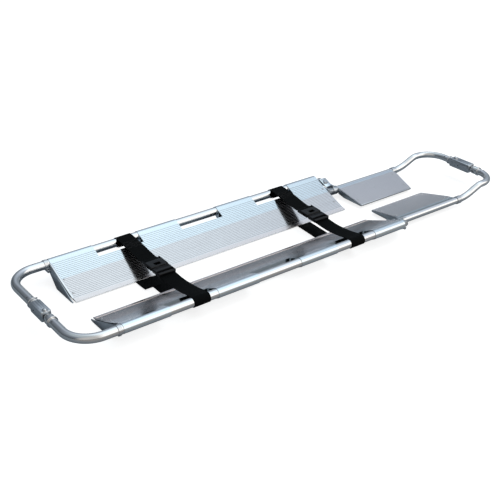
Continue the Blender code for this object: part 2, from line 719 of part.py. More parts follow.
def make_buckle(prefix, centre_near, centre_far):
    """A side-release buckle: the socket half on the far webbing, the prong half on the near."""
    name = prefix + "_buckle_female"
    body = box_mesh(name, (-0.0290, -0.0020, 0.0505), (0.0290, 0.0500, 0.0625), 0.0035)
    made = add_object(name, body)
    cut(made, box_mesh(name, (-0.0240, -0.0100, 0.0527), (0.0240, 0.0240, 0.0601)))
    cut(made, box_mesh(name, (-0.0262, 0.0330, 0.0400), (0.0262, 0.0445, 0.0800)))
    cut(made, box_mesh(name, (-0.0262, 0.0330, 0.0551), (0.0262, 0.0700, 0.0800)))
    lay_on_strap(dress(made, BLACK_PLASTIC), centre_near, centre_far)

    name = prefix + "_buckle_male"
    body = box_mesh(name, (-0.0280, -0.0440, 0.0500), (0.0280, -0.0040, 0.0610), 0.0030)
    made = add_object(name, body)
    join(made, box_mesh(name, (-0.0205, -0.0060, 0.0545), (0.0205, 0.0080, 0.0585)))
    cut(made, box_mesh(name, (-0.0060, -0.0010, 0.0400), (0.0060, 0.0500, 0.0800)))
    cut(made, box_mesh(name, (-0.0258, -0.0390, 0.0400), (0.0258, -0.0270, 0.0800)))
    cut(made, box_mesh(name, (-0.0258, -0.0700, 0.0400), (0.0258, -0.0270, 0.0540)))
    lay_on_strap(dress(made, BLACK_PLASTIC), centre_near, centre_far)


def make_straps():
    for prefix, centre_near, centre_far in (("strap_1", 0.3630, 0.3690),
                                            ("strap_2", 0.9100, 0.9370)):
        make_webbing(prefix + "_far_webbing", far_webbing_path(), 1, centre_near, centre_far)
        make_webbing(prefix + "_near_webbing", near_webbing_path(), -1, centre_near, centre_far)
        make_buckle(prefix, centre_near, centre_far)


# ---- build -------------------------------------------------------------------------------

def main():
    for prefix, side in SIDES.items():
        make_main_section(prefix, side)
        make_slide(prefix, side)
        make_fold_hinge(prefix, side)
        make_foot_section(prefix, side)
    make_couplings()
    make_straps()


main()
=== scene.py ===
import json
import math

import bmesh
import bpy
from mathutils import Matrix, Vector


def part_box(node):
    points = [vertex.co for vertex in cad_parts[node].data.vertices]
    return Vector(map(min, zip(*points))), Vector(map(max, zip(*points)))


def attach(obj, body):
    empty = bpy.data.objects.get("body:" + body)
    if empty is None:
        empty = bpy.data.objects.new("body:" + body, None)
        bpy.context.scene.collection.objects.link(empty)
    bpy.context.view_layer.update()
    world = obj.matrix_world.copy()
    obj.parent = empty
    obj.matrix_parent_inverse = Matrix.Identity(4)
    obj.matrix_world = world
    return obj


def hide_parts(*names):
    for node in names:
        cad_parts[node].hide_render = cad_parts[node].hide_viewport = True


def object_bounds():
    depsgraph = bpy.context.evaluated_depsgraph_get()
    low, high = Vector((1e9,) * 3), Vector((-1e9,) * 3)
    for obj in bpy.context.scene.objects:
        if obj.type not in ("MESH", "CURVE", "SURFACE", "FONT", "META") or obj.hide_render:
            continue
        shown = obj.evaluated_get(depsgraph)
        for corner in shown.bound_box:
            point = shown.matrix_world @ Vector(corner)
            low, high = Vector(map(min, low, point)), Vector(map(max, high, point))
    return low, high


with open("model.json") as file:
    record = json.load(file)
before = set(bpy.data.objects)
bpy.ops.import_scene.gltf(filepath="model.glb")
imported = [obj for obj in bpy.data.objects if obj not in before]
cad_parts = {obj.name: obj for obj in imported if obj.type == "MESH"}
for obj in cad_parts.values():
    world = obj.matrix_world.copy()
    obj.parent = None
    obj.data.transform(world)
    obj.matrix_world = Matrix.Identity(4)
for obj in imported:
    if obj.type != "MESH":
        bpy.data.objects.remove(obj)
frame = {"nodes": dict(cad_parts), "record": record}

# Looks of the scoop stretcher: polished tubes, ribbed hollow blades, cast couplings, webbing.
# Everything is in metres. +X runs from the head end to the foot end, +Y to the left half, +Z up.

CAD_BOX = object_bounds()
BODY_OF = {node: body for body, nodes in frame["record"]["behaviour"]["bodies"].items()
           for node in nodes}
SIDES = {"left": 1, "right": -1}

# ---- sizes, from the frame and the makers' drawings ----------------------------------------

RAIL_LOW, RAIL_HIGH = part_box("left_rail_tube")
RAIL_Y = (RAIL_LOW.y + RAIL_HIGH.y) / 2
RAIL_Z = (RAIL_LOW.z + RAIL_HIGH.z) / 2
TUBE_R = (RAIL_HIGH.z - RAIL_LOW.z) / 2
FOOT_LOW, FOOT_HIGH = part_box("left_foot_tube")
FOOT_Y = (FOOT_LOW.y + FOOT_HIGH.y) / 2
FOOT_Z = (FOOT_LOW.z + FOOT_HIGH.z) / 2
FOOT_R = (FOOT_HIGH.z - FOOT_LOW.z) / 2
HEAD_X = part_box("left_head_loop")[0].x + TUBE_R      # crossbar axes
TOE_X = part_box("left_foot_loop")[1].x - FOOT_R
BLADE_LOW, BLADE_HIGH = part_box("left_blade")

TUBE_WALL = 0.0016
GAP = 0.0003
SLEEVE_R = TUBE_R + GAP + 0.0011
RAIL = (RAIL_Y, RAIL_Z)
HEAD_BENDS = (0.075,)            # bend radii of the end tubes, in path order
FOOT_BENDS = (0.150, 0.055, 0.068)
CREASE = (0.1330, 0.0351)        # blade section, (distance from the centre plane, height)
RIB_FOOT = (0.0618, 0.0082)
LIP_EDGE = (0.0469, 0.0045)
LIP_THICK = 0.0018
KEEL = (0.1500, 0.0032)
KEEL_SKIN = 0.0024
RIB_R = 0.0010
RIB_INSET = 0.0010               # how far the ribs stop short of a cut edge
RIVET_SINK = 0.0004
SKIN = 0.0022
SLOT_INNER_Y = 0.1660
SLOT_STARTS = (0.2670, 0.5490, 0.8310)
SLOT_LENGTH = 0.1480
PLATE_INNER = (0.0230, 0.0143)
PLATE_SLANT = 14.0
PLATE_HEAD, PLATE_FOOT = 1.150, 1.3765
COVER_TOP, COVER_FOOT = (0.1893, 0.0578), (0.1540, 0.0432)
COVER_SPAN = (1.1085, 1.1340)
COVER_SKIN = 0.0014
BLOCK_HALF = 0.0150              # half the width of a coupling's cast block
CAP_R = 0.0062
STRAP_HALF = 0.0250
STRAP_THICK = 0.0015
WRAP_R = TUBE_R + 0.0004 + STRAP_THICK / 2
LOOSE_END_SHIFT = -0.027
FIRST_RUN, LAST_RUN = (0.1750, 0.0648), (0.1330, 0.0612)   # the sewn stretch of the far run
STRAPS = {"strap_1": (0.3630, 0.3690), "strap_2": (0.9100, 0.9370)}   # near and far stations


def station(distance):
    """World X of a distance from the head crossbar's axis."""
    return distance - TOE_X


# ---- node helpers --------------------------------------------------------------------------

def fill(tree, node, values):
    """Set each input of a node to a value, or link it to a socket."""
    for label, value in values.items():
        if isinstance(value, bpy.types.NodeSocket):
            tree.links.new(value, node.inputs[label])
        else:
            node.inputs[label].default_value = value


def add(tree, kind, values=None, **settings):
    """A new node with its settings and then its inputs filled in."""
    node = tree.nodes.new(kind)
    for label, value in settings.items():
        setattr(node, label, value)
    fill(tree, node, values or {})
    return node


def place_axes(tree, output="Object"):
    """Texture coordinates as separate X, Y and Z sockets."""
    place = add(tree, "ShaderNodeTexCoord")
    return add(tree, "ShaderNodeSeparateXYZ", {0: place.outputs[output]}).outputs


def mixed(tree, factor, first, second, blend="MIX"):
    """A blend of two colours; each operand is a socket or a value."""
    return add(tree, "ShaderNodeMix", {"Factor": factor, "A": first, "B": second},
               data_type="RGBA", blend_type=blend).outputs["Result"]


def by_ray(tree, elsewhere, seen, output):
    """One shader where the camera looks straight at it, another for light and reflections."""
    path = add(tree, "ShaderNodeLightPath")
    mix = add(tree, "ShaderNodeMixShader", {0: path.outputs["Is Camera Ray"],
                                            1: elsewhere.outputs[0], 2: seen.outputs[0]})
    add(tree, output, {0: mix.outputs[0]})


# ---- camera, floor and light ---------------------------------------------------------------

def place_camera():
    azimuth, elevation = math.radians(-36.6956), math.radians(28.1587)
    back = Vector((math.sin(azimuth) * math.cos(elevation),
                   -math.cos(azimuth) * math.cos(elevation), math.sin(elevation)))
    data = bpy.data.cameras.new("camera")
    data.sensor_width = 36.0
    data.lens = 65.37
    data.clip_end = 60.0
    camera = bpy.data.objects.new("camera", data)
    camera.location = (-1.5415, -1.9073, 1.2821)
    camera.rotation_mode = "QUATERNION"
    camera.rotation_quaternion = back.to_track_quat("Z", "Y")
    bpy.context.scene.collection.objects.link(camera)
    bpy.context.scene.camera = camera


def ramp_up(tree, value, start, end):
    """A smooth 0 to 1 step of a value."""
    return add(tree, "ShaderNodeMapRange", {"From Min": start, "From Max": end, "Value": value},
               interpolation_type="SMOOTHSTEP").outputs[0]


SKY_STRENGTH = 1.32
SKY_SHADES = ((0.0, (0.24, 0.22, 0.20)), (0.50, (0.17, 0.20, 0.225)), (0.62, (0.18, 0.21, 0.24)),
              (0.74, (0.27, 0.31, 0.36)), (0.84, (0.40, 0.45, 0.53)), (0.885, (0.54, 0.62, 0.70)),
              (0.925, (0.72, 0.84, 0.92)), (1.0, (0.86, 0.95, 1.0)))
WINDOW_WHITE = (0.98, 0.97, 0.95, 1)
PLAIN_BACKDROP = (0.97, 0.97, 0.97, 1)


def light_studio():
    """A bright ceiling that falls off to a grey horizon, a white side and one soft key light."""
    world = bpy.data.worlds.new("studio")
    world.use_nodes = True
    bpy.context.scene.world = world
    tree = world.node_tree
    tree.nodes.clear()
    axes = place_axes(tree, "Generated")
    height = add(tree, "ShaderNodeMapRange", {"From Min": -1.0, "Value": axes["Z"]})
    ramp = add(tree, "ShaderNodeValToRGB", {0: height.outputs[0]})
    stops = ramp.color_ramp.elements
    stops[0].color = (*SKY_SHADES[0][1], 1)
    stops[1].color = (*SKY_SHADES[-1][1], 1)
    for position, colour in SKY_SHADES[1:-1]:
        stops.new(position).color = (*colour, 1)
    towards = ramp_up(tree, maths(tree, "MULTIPLY", axes["Y"], -1.0), 0.15, 0.50)
    above = ramp_up(tree, axes["Z"], 0.02, 0.24)
    white_side = maths(tree, "MULTIPLY", towards, above)
    behind = ramp_up(tree, axes["X"], -0.15, 0.42)
    sky = add(tree, "ShaderNodeBackground", {
        "Color": mixed(tree, white_side, ramp.outputs[0], WINDOW_WHITE),
        "Strength": maths(tree, "MULTIPLY_ADD", behind, SKY_STRENGTH * 0.6, SKY_STRENGTH * 0.4)})
    plain = add(tree, "ShaderNodeBackground", {"Color": PLAIN_BACKDROP})
    by_ray(tree, sky, plain, "ShaderNodeOutputWorld")
    key = bpy.data.lights.new("key_softbox", "AREA")
    key.shape = "RECTANGLE"
    key.size, key.size_y = 2.4, 1.2
    key.energy = 22.0
    lamp = bpy.data.objects.new("key_softbox", key)
    lamp.location = (1.9, -0.3, 2.7)
    lamp.rotation_mode = "QUATERNION"
    lamp.rotation_quaternion = Vector(lamp.location).to_track_quat("Z", "Y")
    lamp.visible_glossy = False
    bpy.context.scene.collection.objects.link(lamp)


def lay_floor():
    """A plain pale floor: near-white to look at, darker in the metal's reflections."""
    bm = bmesh.new()
    bmesh.ops.create_grid(bm, x_segments=1, y_segments=1, size=20.0)
    mesh = bpy.data.meshes.new("floor")
    bm.to_mesh(mesh)
    bm.free()
    floor = bpy.data.objects.new("floor", mesh)
    floor.location.z = CAD_BOX[0].z - 0.0002
    bpy.context.scene.collection.objects.link(floor)
    paper = bpy.data.materials.new("pale_floor")
    paper.use_nodes = True
    tree = paper.node_tree
    tree.nodes.clear()
    seen = add(tree, "ShaderNodeBsdfDiffuse", {"Color": (0.50, 0.50, 0.50, 1)})
    glow = add(tree, "ShaderNodeEmission", {"Color": (0.80, 0.80, 0.80, 1)})
    lit = add(tree, "ShaderNodeAddShader", {0: seen.outputs[0], 1: glow.outputs[0]})
    ground = mixed(tree, ramp_up(tree, place_axes(tree)["Y"], -0.55, -0.12),
                   (0.50, 0.43, 0.38, 1), (0.27, 0.30, 0.33, 1))
    around = add(tree, "ShaderNodeBsdfDiffuse", {"Color": ground})
    by_ray(tree, around, lit, "ShaderNodeOutputMaterial")
    mesh.materials.append(paper)


# ---- shader groups and finishes -------------------------------------------------------------

def shader_group(name, inputs, outputs):
    """An empty shader group with named float inputs and named outputs."""
    group = bpy.data.node_groups.new(name, "ShaderNodeTree")
    for label, value in inputs:
        socket = group.interface.new_socket(label, in_out="INPUT", socket_type="NodeSocketFloat")
        socket.default_value = value
    for label in outputs:
        group.interface.new_socket(label, in_out="OUTPUT", socket_type="NodeSocketFloat")
    return group, add(group, "NodeGroupInput").outputs, add(group, "NodeGroupOutput")


def maths(tree, operation, *operands):
    """A Math node; each operand is a socket or a number."""
    return add(tree, "ShaderNodeMath", dict(enumerate(operands)), operation=operation).outputs[0]


def noise(tree, vector, scale, detail=2.0, roughness=0.5):
    return add(tree, "ShaderNodeTexNoise", {"Vector": vector, "Scale": scale, "Detail": detail,
                                            "Roughness": roughness}).outputs[0]


def stretched(tree, along, across, turn=(0.0, 0.0, 0.0)):
    """Object coordinates squeezed so that a noise runs in lines along X."""
    place = add(tree, "ShaderNodeTexCoord")
    return add(tree, "ShaderNodeMapping", {"Vector": place.outputs["Object"], "Rotation": turn,
                                           "Scale": (along, across, across)}).outputs[0]


def make_drawn_grain():
    """Fine draw lines along X, as on extruded and drawn aluminium."""
    group, given, out = shader_group("drawn_grain", (("Depth", 1.0),), ("Height", "Shade"))
    lines = noise(group, stretched(group, 3.0, 900.0), 1.0, 3.0, 0.6)
    bands = noise(group, stretched(group, 1.2, 90.0), 1.0, 2.0, 0.5)
    fine = maths(group, "MULTIPLY", lines, 0.5)
    fill(group, out, {"Height": maths(group, "MULTIPLY", lines, given["Depth"]),
                      "Shade": maths(group, "MULTIPLY_ADD", bands, 0.5, fine)})
    return group


def make_handling():
    """Smudges, light scratches and dull patches from use."""
    group, given, out = shader_group("handling", (("Scratches", 1.0),), ("Mask", "Scratch"))
    place = add(group, "ShaderNodeTexCoord")
    smudge = noise(group, place.outputs["Object"], 14.0, 5.0, 0.62)
    spread = add(group, "ShaderNodeMapRange",
                 {"From Min": 0.42, "From Max": 0.72, "Value": smudge})
    lines = noise(group, stretched(group, 8.0, 260.0, (0.3, 0.2, 0.5)), 1.0, 2.0, 0.6)
    thin = maths(group, "GREATER_THAN", lines, 0.69)
    fill(group, out, {"Mask": spread.outputs[0],
                      "Scratch": maths(group, "MULTIPLY", thin, given["Scratches"])})
    return group


def make_weave():
    """Webbing weave from the strap's own UV map: ends across U, picks along V."""
    group, given, out = shader_group("weave", (("Picks", 420.0), ("Ends", 26.0)),
                                     ("Height", "Shade"))
    place = add(group, "ShaderNodeUVMap", uv_map="webbing")
    axes = add(group, "ShaderNodeSeparateXYZ", {0: place.outputs[0]}).outputs
    across = maths(group, "MULTIPLY", axes["X"], given["Ends"])
    lean = maths(group, "PINGPONG", across, 0.5)
    along = maths(group, "MULTIPLY_ADD", axes["Y"], given["Picks"], lean)
    wave = maths(group, "SINE", maths(group, "MULTIPLY", along, 2 * math.pi))
    cord = maths(group, "SINE", maths(group, "MULTIPLY", across, 2 * math.pi))
    height = maths(group, "MULTIPLY_ADD", wave, 0.5, maths(group, "MULTIPLY", cord, 0.3))
    fill(group, out, {"Height": height,
                      "Shade": maths(group, "MULTIPLY_ADD", height, 0.25, 0.5)})
    return group


def make_cast_skin():
    """The slightly pebbled skin of a sand-blasted casting."""
    group, given, out = shader_group("cast_skin", (("Size", 1.0),), ("Height", "Shade"))
    place = add(group, "ShaderNodeTexCoord").outputs["Object"]
    pebbles = noise(group, place, 900.0, 3.0, 0.55)
    fill(group, out, {"Height": maths(group, "MULTIPLY", pebbles, given["Size"]),
                      "Shade": noise(group, place, 60.0, 3.0, 0.5)})
    return group


GRAIN = make_drawn_grain()
HANDLING = make_handling()
WEAVE = make_weave()
CAST_SKIN = make_cast_skin()


def finish(name, light, dark, roughness, metallic, groups, bump=(0.1, 0.0002), worn=0.10,
           **extra):
    """A Principled finish: colour between two shades, roughness that handling dulls, a fine bump.

    groups is (group, its input values); the group gives Height and Shade.
    """
    made = bpy.data.materials.new(name)
    made.use_nodes = True
    tree = made.node_tree
    shader = tree.nodes["Principled BSDF"]
    shader.inputs["Metallic"].default_value = metallic
    for label, value in extra.items():
        shader.inputs[label.replace("_", " ")].default_value = value
    texture = add(tree, "ShaderNodeGroup", groups[1], node_tree=groups[0]).outputs
    marks = add(tree, "ShaderNodeGroup", node_tree=HANDLING).outputs
    rough = maths(tree, "MULTIPLY_ADD", marks["Mask"], worn, roughness)
    relief = add(tree, "ShaderNodeBump", {"Strength": bump[0], "Distance": bump[1],
                                          "Height": texture["Height"]})
    fill(tree, shader, {
        "Base Color": mixed(tree, texture["Shade"], (*dark, 1), (*light, 1)),
        "Roughness": maths(tree, "MULTIPLY_ADD", marks["Scratch"], worn * 0.8, rough),
        "Normal": relief.outputs[0]})
    return made


# Painted sky reflection: the bluish tint multiplied into the blade finish's base colour past the
# crease.
OUTER_PAINTED_SKY_TINT = (1.04, 1.17, 1.22, 1)


def paint_sky_reflection_on_outer_panel(made):
    """Painted sky reflection: the base colour is made brighter and bluer wherever |Y| is past the
    crease, on the outer panel, than on the ribbed inner one.
    """
    tree = made.node_tree
    shader = tree.nodes["Principled BSDF"]
    source = shader.inputs["Base Color"].links[0].from_socket
    outer = maths(tree, "GREATER_THAN", maths(tree, "ABSOLUTE", place_axes(tree)["Y"]), CREASE[0])
    fill(tree, shader, {"Base Color": mixed(tree, outer, source, OUTER_PAINTED_SKY_TINT, "MULTIPLY")})
    return made


FINISHES = {
    "tube": finish("polished_tube", (0.93, 0.93, 0.93), (0.83, 0.83, 0.83), 0.10, 1.0,
                   (GRAIN, {"Depth": 1.0}), (0.02, 0.0001), 0.06),
    # The blade finish carries a painted sky reflection on its outer panel.
    "blade": paint_sky_reflection_on_outer_panel(finish("anodised_blade_painted_sky", (0.83, 0.80, 0.80), (0.73, 0.70, 0.70),
                                     0.14, 1.0, (GRAIN, {"Depth": 1.0}), (0.02, 0.0001), 0.07)),
    # Painted shade: the ribs' darker base colour stands for the shade and dark reflections on the
    # rib flanks and in the grooves between them.
    "rib": finish("rib_painted_shade", (0.38, 0.37, 0.38), (0.28, 0.27, 0.28), 0.34, 1.0,
                  (GRAIN, {"Depth": 0.6}), (0.02, 0.0001), 0.05),
    # Painted reflection: the lip face's brighter, pinker base colour stands for the warm light the
    # flat lip reflects.
    "lip": finish("satin_lip_painted_reflection", (0.98, 0.90, 0.87), (0.92, 0.84, 0.81), 0.24, 1.0,
                  (GRAIN, {"Depth": 0.6}), (0.02, 0.0001)),
    "casting": finish("satin_casting", (0.68, 0.71, 0.74), (0.52, 0.55, 0.58), 0.30, 1.0,
                      (CAST_SKIN, {"Size": 1.0}), (0.18, 0.0002)),
    "steel": finish("bright_steel", (0.78, 0.79, 0.80), (0.66, 0.67, 0.68), 0.17, 1.0,
                    (GRAIN, {"Depth": 0.5}), (0.03, 0.0001)),
    "dark_steel": finish("blackened_screw", (0.10, 0.10, 0.11), (0.05, 0.05, 0.055), 0.35, 0.9,
                         (CAST_SKIN, {"Size": 0.5}), (0.05, 0.0001)),
    "buckle": finish("moulded_black", (0.007, 0.007, 0.008), (0.003, 0.003, 0.004), 0.26, 0.0,
                     (CAST_SKIN, {"Size": 0.6}), (0.10, 0.0001), 0.12, Specular_IOR_Level=0.25),
    "webbing": finish("black_webbing", (0.0040, 0.0048, 0.0050), (0.0012, 0.0015, 0.0016),
                      0.66, 0.0,
                      (WEAVE, {"Picks": 420.0, "Ends": 26.0}), (0.6, 0.0004), 0.08,
                      Specular_IOR_Level=0.06),
    "thread": finish("black_thread", (0.022, 0.022, 0.025), (0.010, 0.010, 0.012), 0.65, 0.0,
                     (CAST_SKIN, {"Size": 1.0}), (0.1, 0.0001)),
}


# ---- mesh making ----------------------------------------------------------------------------

def mesh_of(bm, name):
    mesh = bpy.data.meshes.new(name)
    bm.to_mesh(mesh)
    bm.free()
    return mesh


def link(name, mesh):
    made = bpy.data.objects.new(name, mesh)
    bpy.context.scene.collection.objects.link(made)
    return made


def evaluated_mesh(made):
    bpy.context.view_layer.update()
    source = made.evaluated_get(bpy.context.evaluated_depsgraph_get())
    return bpy.data.meshes.new_from_object(source)


def flatten(made):
    """Apply an object's modifiers to its mesh."""
    result = evaluated_mesh(made)
    made.modifiers.clear()
    made.data = result
    return made


def soften(made, width, segments=2, angle=35):
    """Round the hard edges of a piece."""
    bevel = made.modifiers.new("edge_round", "BEVEL")
    bevel.width = width
    bevel.segments = segments
    bevel.limit_method = "ANGLE"
    bevel.angle_limit = math.radians(angle)
    bevel.use_clamp_overlap = True
    return flatten(made)


def shade(made, finish_name, angle=32):
    made.data.materials.clear()
    made.data.materials.append(FINISHES[finish_name])
    for face in made.data.polygons:
        face.material_index = 0
    made.data.shade_smooth()
    made.data.set_sharp_from_angle(angle=math.radians(angle))
    return made


def fit(made, body, finish_name, *nodes):
    """Put a finished piece on its body, in place of its CAD nodes."""
    shade(made, finish_name)
    if nodes:
        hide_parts(*nodes)
    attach(made, body)
    return made


def arc(centre, radius, start, end, count):
    """Points of an arc, angles in degrees."""
    points = []
    for index in range(count):
        angle = math.radians(start + (end - start) * index / (count - 1))
        points.append((centre[0] + radius * math.cos(angle),
                       centre[1] + radius * math.sin(angle)))
    return points


def circle(centre, radius, count=56):
    return arc(centre, radius, 0, 360 - 360 / count, count)


def curve_solid(name, curve, place=Matrix.Identity(4)):
    """The solid of a bevelled or extruded curve, welded, as an object."""
    holder = link(name + "_line", curve)
    mesh = evaluated_mesh(holder)
    bpy.data.objects.remove(holder, do_unlink=True)
    bm = bmesh.new()
    bm.from_mesh(mesh)
    bmesh.ops.remove_doubles(bm, verts=bm.verts, dist=1e-6)
    bmesh.ops.recalc_face_normals(bm, faces=bm.faces)
    bm.transform(place)
    return link(name, mesh_of(bm, name))


def section(name, loops, x0, x1, side=1):
    """Extrude closed (y, z) loops along X; loops after the first are holes."""
    curve = bpy.data.curves.new(name, "CURVE")
    curve.dimensions = "2D"
    curve.fill_mode = "BOTH"
    curve.extrude = (x1 - x0) / 2
    for loop in loops:
        spline = curve.splines.new("POLY")
        spline.points.add(len(loop) - 1)
        spline.use_cyclic_u = True
        for point, (y, z) in zip(spline.points, loop):
            point.co = (side * y, z, 0, 1)
    stand_up = Matrix.Rotation(math.pi / 2, 4, "Z") @ Matrix.Rotation(math.pi / 2, 4, "X")
    return curve_solid(name, curve, Matrix.Translation(((x0 + x1) / 2, 0, 0)) @ stand_up)


def block(name, low, high, bevel=0.0, segments=3):
    """A box between two corners, its edges rounded."""
    bm = bmesh.new()
    bmesh.ops.create_cube(bm, size=1)
    bmesh.ops.scale(bm, vec=Vector(high) - Vector(low), verts=bm.verts)
    bmesh.ops.translate(bm, vec=(Vector(high) + Vector(low)) / 2, verts=bm.verts)
    if bevel:
        bmesh.ops.bevel(bm, geom=bm.edges[:], offset=bevel, segments=segments,
                        profile=0.5, affect="EDGES", clamp_overlap=True)
    return link(name, mesh_of(bm, name))


AXES = {"X": Matrix.Rotation(math.pi / 2, 4, "Y"), "Y": Matrix.Rotation(-math.pi / 2, 4, "X"),
        "Z": Matrix.Identity(4)}


def bridge(bm, rings):
    """Four-sided faces between each ring of vertices and the next."""
    for lower, upper in zip(rings, rings[1:]):
        for step in range(len(lower)):
            after = (step + 1) % len(lower)
            bm.faces.new((lower[step], lower[after], upper[after], upper[step]))


def turned(name, profile, centre, axis="X", steps=56):
    """A solid turned from (radius, height) points about an axis through the centre."""
    bm = bmesh.new()
    rings = []
    for radius, height in profile:
        ring = []
        for step in range(steps):
            angle = 2 * math.pi * step / steps
            ring.append(bm.verts.new((radius * math.cos(angle), radius * math.sin(angle), height)))
        rings.append(ring)
    closed = profile[0] == profile[-1]
    if closed:
        rings[-1] = rings[0]
    bridge(bm, rings)
    if not closed:
        bm.faces.new(rings[0][::-1])
        bm.faces.new(rings[-1])
    bmesh.ops.delete(bm, geom=[v for v in bm.verts if not v.link_faces], context="VERTS")
    bmesh.ops.remove_doubles(bm, verts=bm.verts, dist=1e-7)
    bmesh.ops.recalc_face_normals(bm, faces=bm.faces)
    bm.transform(Matrix.Translation(centre) @ AXES[axis])
    return link(name, mesh_of(bm, name))


def collar(name, centre, inner, outer, length, axis="X", lip=0.0006):
    """A ring with rounded rims."""
    half = length / 2
    profile = [(inner, -half), (outer - lip, -half), (outer, -half + lip), (outer, half - lip),
               (outer - lip, half), (inner, half), (inner, -half)]
    return turned(name, profile, centre, axis)


def combine(made, tool, operation):
    """One exact Boolean; the tool is used up."""
    modifier = made.modifiers.new("combine", "BOOLEAN")
    modifier.operation = operation
    modifier.object = tool
    flatten(made)
    bpy.data.objects.remove(tool, do_unlink=True)
    return made


def cut(made, tool):
    return combine(made, tool, "DIFFERENCE")


def join(made, tool):
    return combine(made, tool, "UNION")


def gather(name, pieces):
    """Several separate meshes as one object."""
    bm = bmesh.new()
    for piece in pieces:
        bm.from_mesh(piece.data)
        bpy.data.objects.remove(piece, do_unlink=True)
    return link(name, mesh_of(bm, name))


def round_corner(before, corner, after, radius, count=22):
    """Points of a rounded corner in a path of straight runs."""
    inward = (Vector(before) - Vector(corner)).normalized()
    outward = (Vector(after) - Vector(corner)).normalized()
    half = inward.angle(outward) / 2
    reach = radius / math.tan(half)
    centre = Vector(corner) + (inward + outward).normalized() * (radius / math.sin(half))
    start = Vector(corner) + inward * reach - centre
    end = Vector(corner) + outward * reach - centre
    sweep = start.angle(end)
    points = []
    for index in range(count):
        share = index / (count - 1)
        blend = math.sin((1 - share) * sweep) * start + math.sin(share * sweep) * end
        points.append(centre + blend / math.sin(sweep))
    return points


def bent_tube(name, corners, radii, radius):
    """A hollow bent tube through corners."""
    points = [Vector(corners[0])]
    for index in range(1, len(corners) - 1):
        points += round_corner(corners[index - 1], corners[index], corners[index + 1],
                               radii[index - 1])
    points.append(Vector(corners[-1]))
    curve = bpy.data.curves.new(name, "CURVE")
    curve.dimensions = "3D"
    curve.bevel_depth = radius
    curve.bevel_resolution = 10
    spline = curve.splines.new("POLY")
    spline.points.add(len(points) - 1)
    for point, place in zip(spline.points, points):
        point.co = (*place, 1)
    made = curve_solid(name, curve)
    wall = made.modifiers.new("wall", "SOLIDIFY")
    wall.thickness = TUBE_WALL
    wall.offset = -1
    return flatten(made)


def smoothed_copy(node, finish_name, bevel=0.0004):
    """A CAD piece's own shape with welded corners and rounded edges."""
    bm = bmesh.new()
    bm.from_mesh(frame["nodes"][node].data)
    bmesh.ops.remove_doubles(bm, verts=bm.verts, dist=2e-6)
    bmesh.ops.dissolve_limit(bm, angle_limit=math.radians(0.6), verts=bm.verts, edges=bm.edges)
    made = link(node + "_shape", mesh_of(bm, node))
    if bevel:
        soften(made, bevel)
    return fit(made, BODY_OF[node], finish_name, node)


# ---- geometry node trees ---------------------------------------------------------------------

SOCKETS = {"float": "NodeSocketFloat", "int": "NodeSocketInt", "vector": "NodeSocketVector",
           "material": "NodeSocketMaterial"}


def new_tree(name, inputs):
    """An empty geometry tree with named inputs."""
    tree = bpy.data.node_groups.new(name, "GeometryNodeTree")
    tree.interface.new_socket("Geometry", in_out="INPUT", socket_type="NodeSocketGeometry")
    for label, kind in inputs.items():
        tree.interface.new_socket(label, in_out="INPUT", socket_type=SOCKETS[kind])
    tree.interface.new_socket("Geometry", in_out="OUTPUT", socket_type="NodeSocketGeometry")
    return tree, add(tree, "NodeGroupInput").outputs, add(tree, "NodeGroupOutput")


def close_tree(tree, given, out, points, instance, turn=None):
    """Instance on Points, Realize Instances, shade smooth and Set Material end a tree."""
    place = add(tree, "GeometryNodeInstanceOnPoints", {"Points": points, "Instance": instance})
    if turn:
        fill(tree, place, {"Rotation": turn})
    real = add(tree, "GeometryNodeRealizeInstances", {0: place.outputs[0]})
    smooth = add(tree, "GeometryNodeSetShadeSmooth", {0: real.outputs[0]})
    coat = add(tree, "GeometryNodeSetMaterial", {0: smooth.outputs[0],
                                                 "Material": given["Material"]})
    fill(tree, out, {0: coat.outputs[0]})
    return tree


def bead(tree, segments, rings, half_width, half_height):
    """A ball scaled to two half sizes."""
    ball = add(tree, "GeometryNodeMeshUVSphere", {"Segments": segments, "Rings": rings})
    size = add(tree, "ShaderNodeCombineXYZ", {0: half_width, 1: half_width, 2: half_height})
    return add(tree, "GeometryNodeTransform", {"Geometry": ball.outputs["Mesh"],
                                               "Scale": size.outputs[0]}).outputs[0]


def upright(tree, direction):
    """The rotation that turns Z to a direction."""
    return add(tree, "FunctionNodeAlignRotationToVector", {"Vector": direction},
               axis="Z").outputs[0]


def make_rib_tree():
    """Parallel round ribs along X, stepped across a panel."""
    tree, given, out = new_tree("rib_bank", {"First": "vector", "Step": "vector", "Count": "int",
                                             "Length": "float", "Radius": "float",
                                             "Material": "material"})
    row = add(tree, "GeometryNodeMeshLine", {"Count": given["Count"], "Offset": given["Step"],
                                             "Start Location": given["First"]})
    end = add(tree, "ShaderNodeCombineXYZ", {0: given["Length"]})
    line = add(tree, "GeometryNodeCurvePrimitiveLine", {"End": end.outputs[0]})
    ring = add(tree, "GeometryNodeCurvePrimitiveCircle", {"Resolution": 10,
                                                          "Radius": given["Radius"]})
    bar = add(tree, "GeometryNodeCurveToMesh", {"Curve": line.outputs[0], "Fill Caps": True,
                                                "Profile Curve": ring.outputs[0]})
    return close_tree(tree, given, out, row.outputs[0], bar.outputs[0])


def make_rivet_tree():
    """Domed heads on points, each facing its point's "facing" direction."""
    tree, given, out = new_tree("rivet_heads", {"Radius": "float", "Height": "float",
                                                "Material": "material"})
    shape = bead(tree, 20, 10, given["Radius"], given["Height"])
    facing = add(tree, "GeometryNodeInputNamedAttribute", {"Name": "facing"},
                 data_type="FLOAT_VECTOR")
    return close_tree(tree, given, out, given["Geometry"], shape,
                      upright(tree, facing.outputs["Attribute"]))


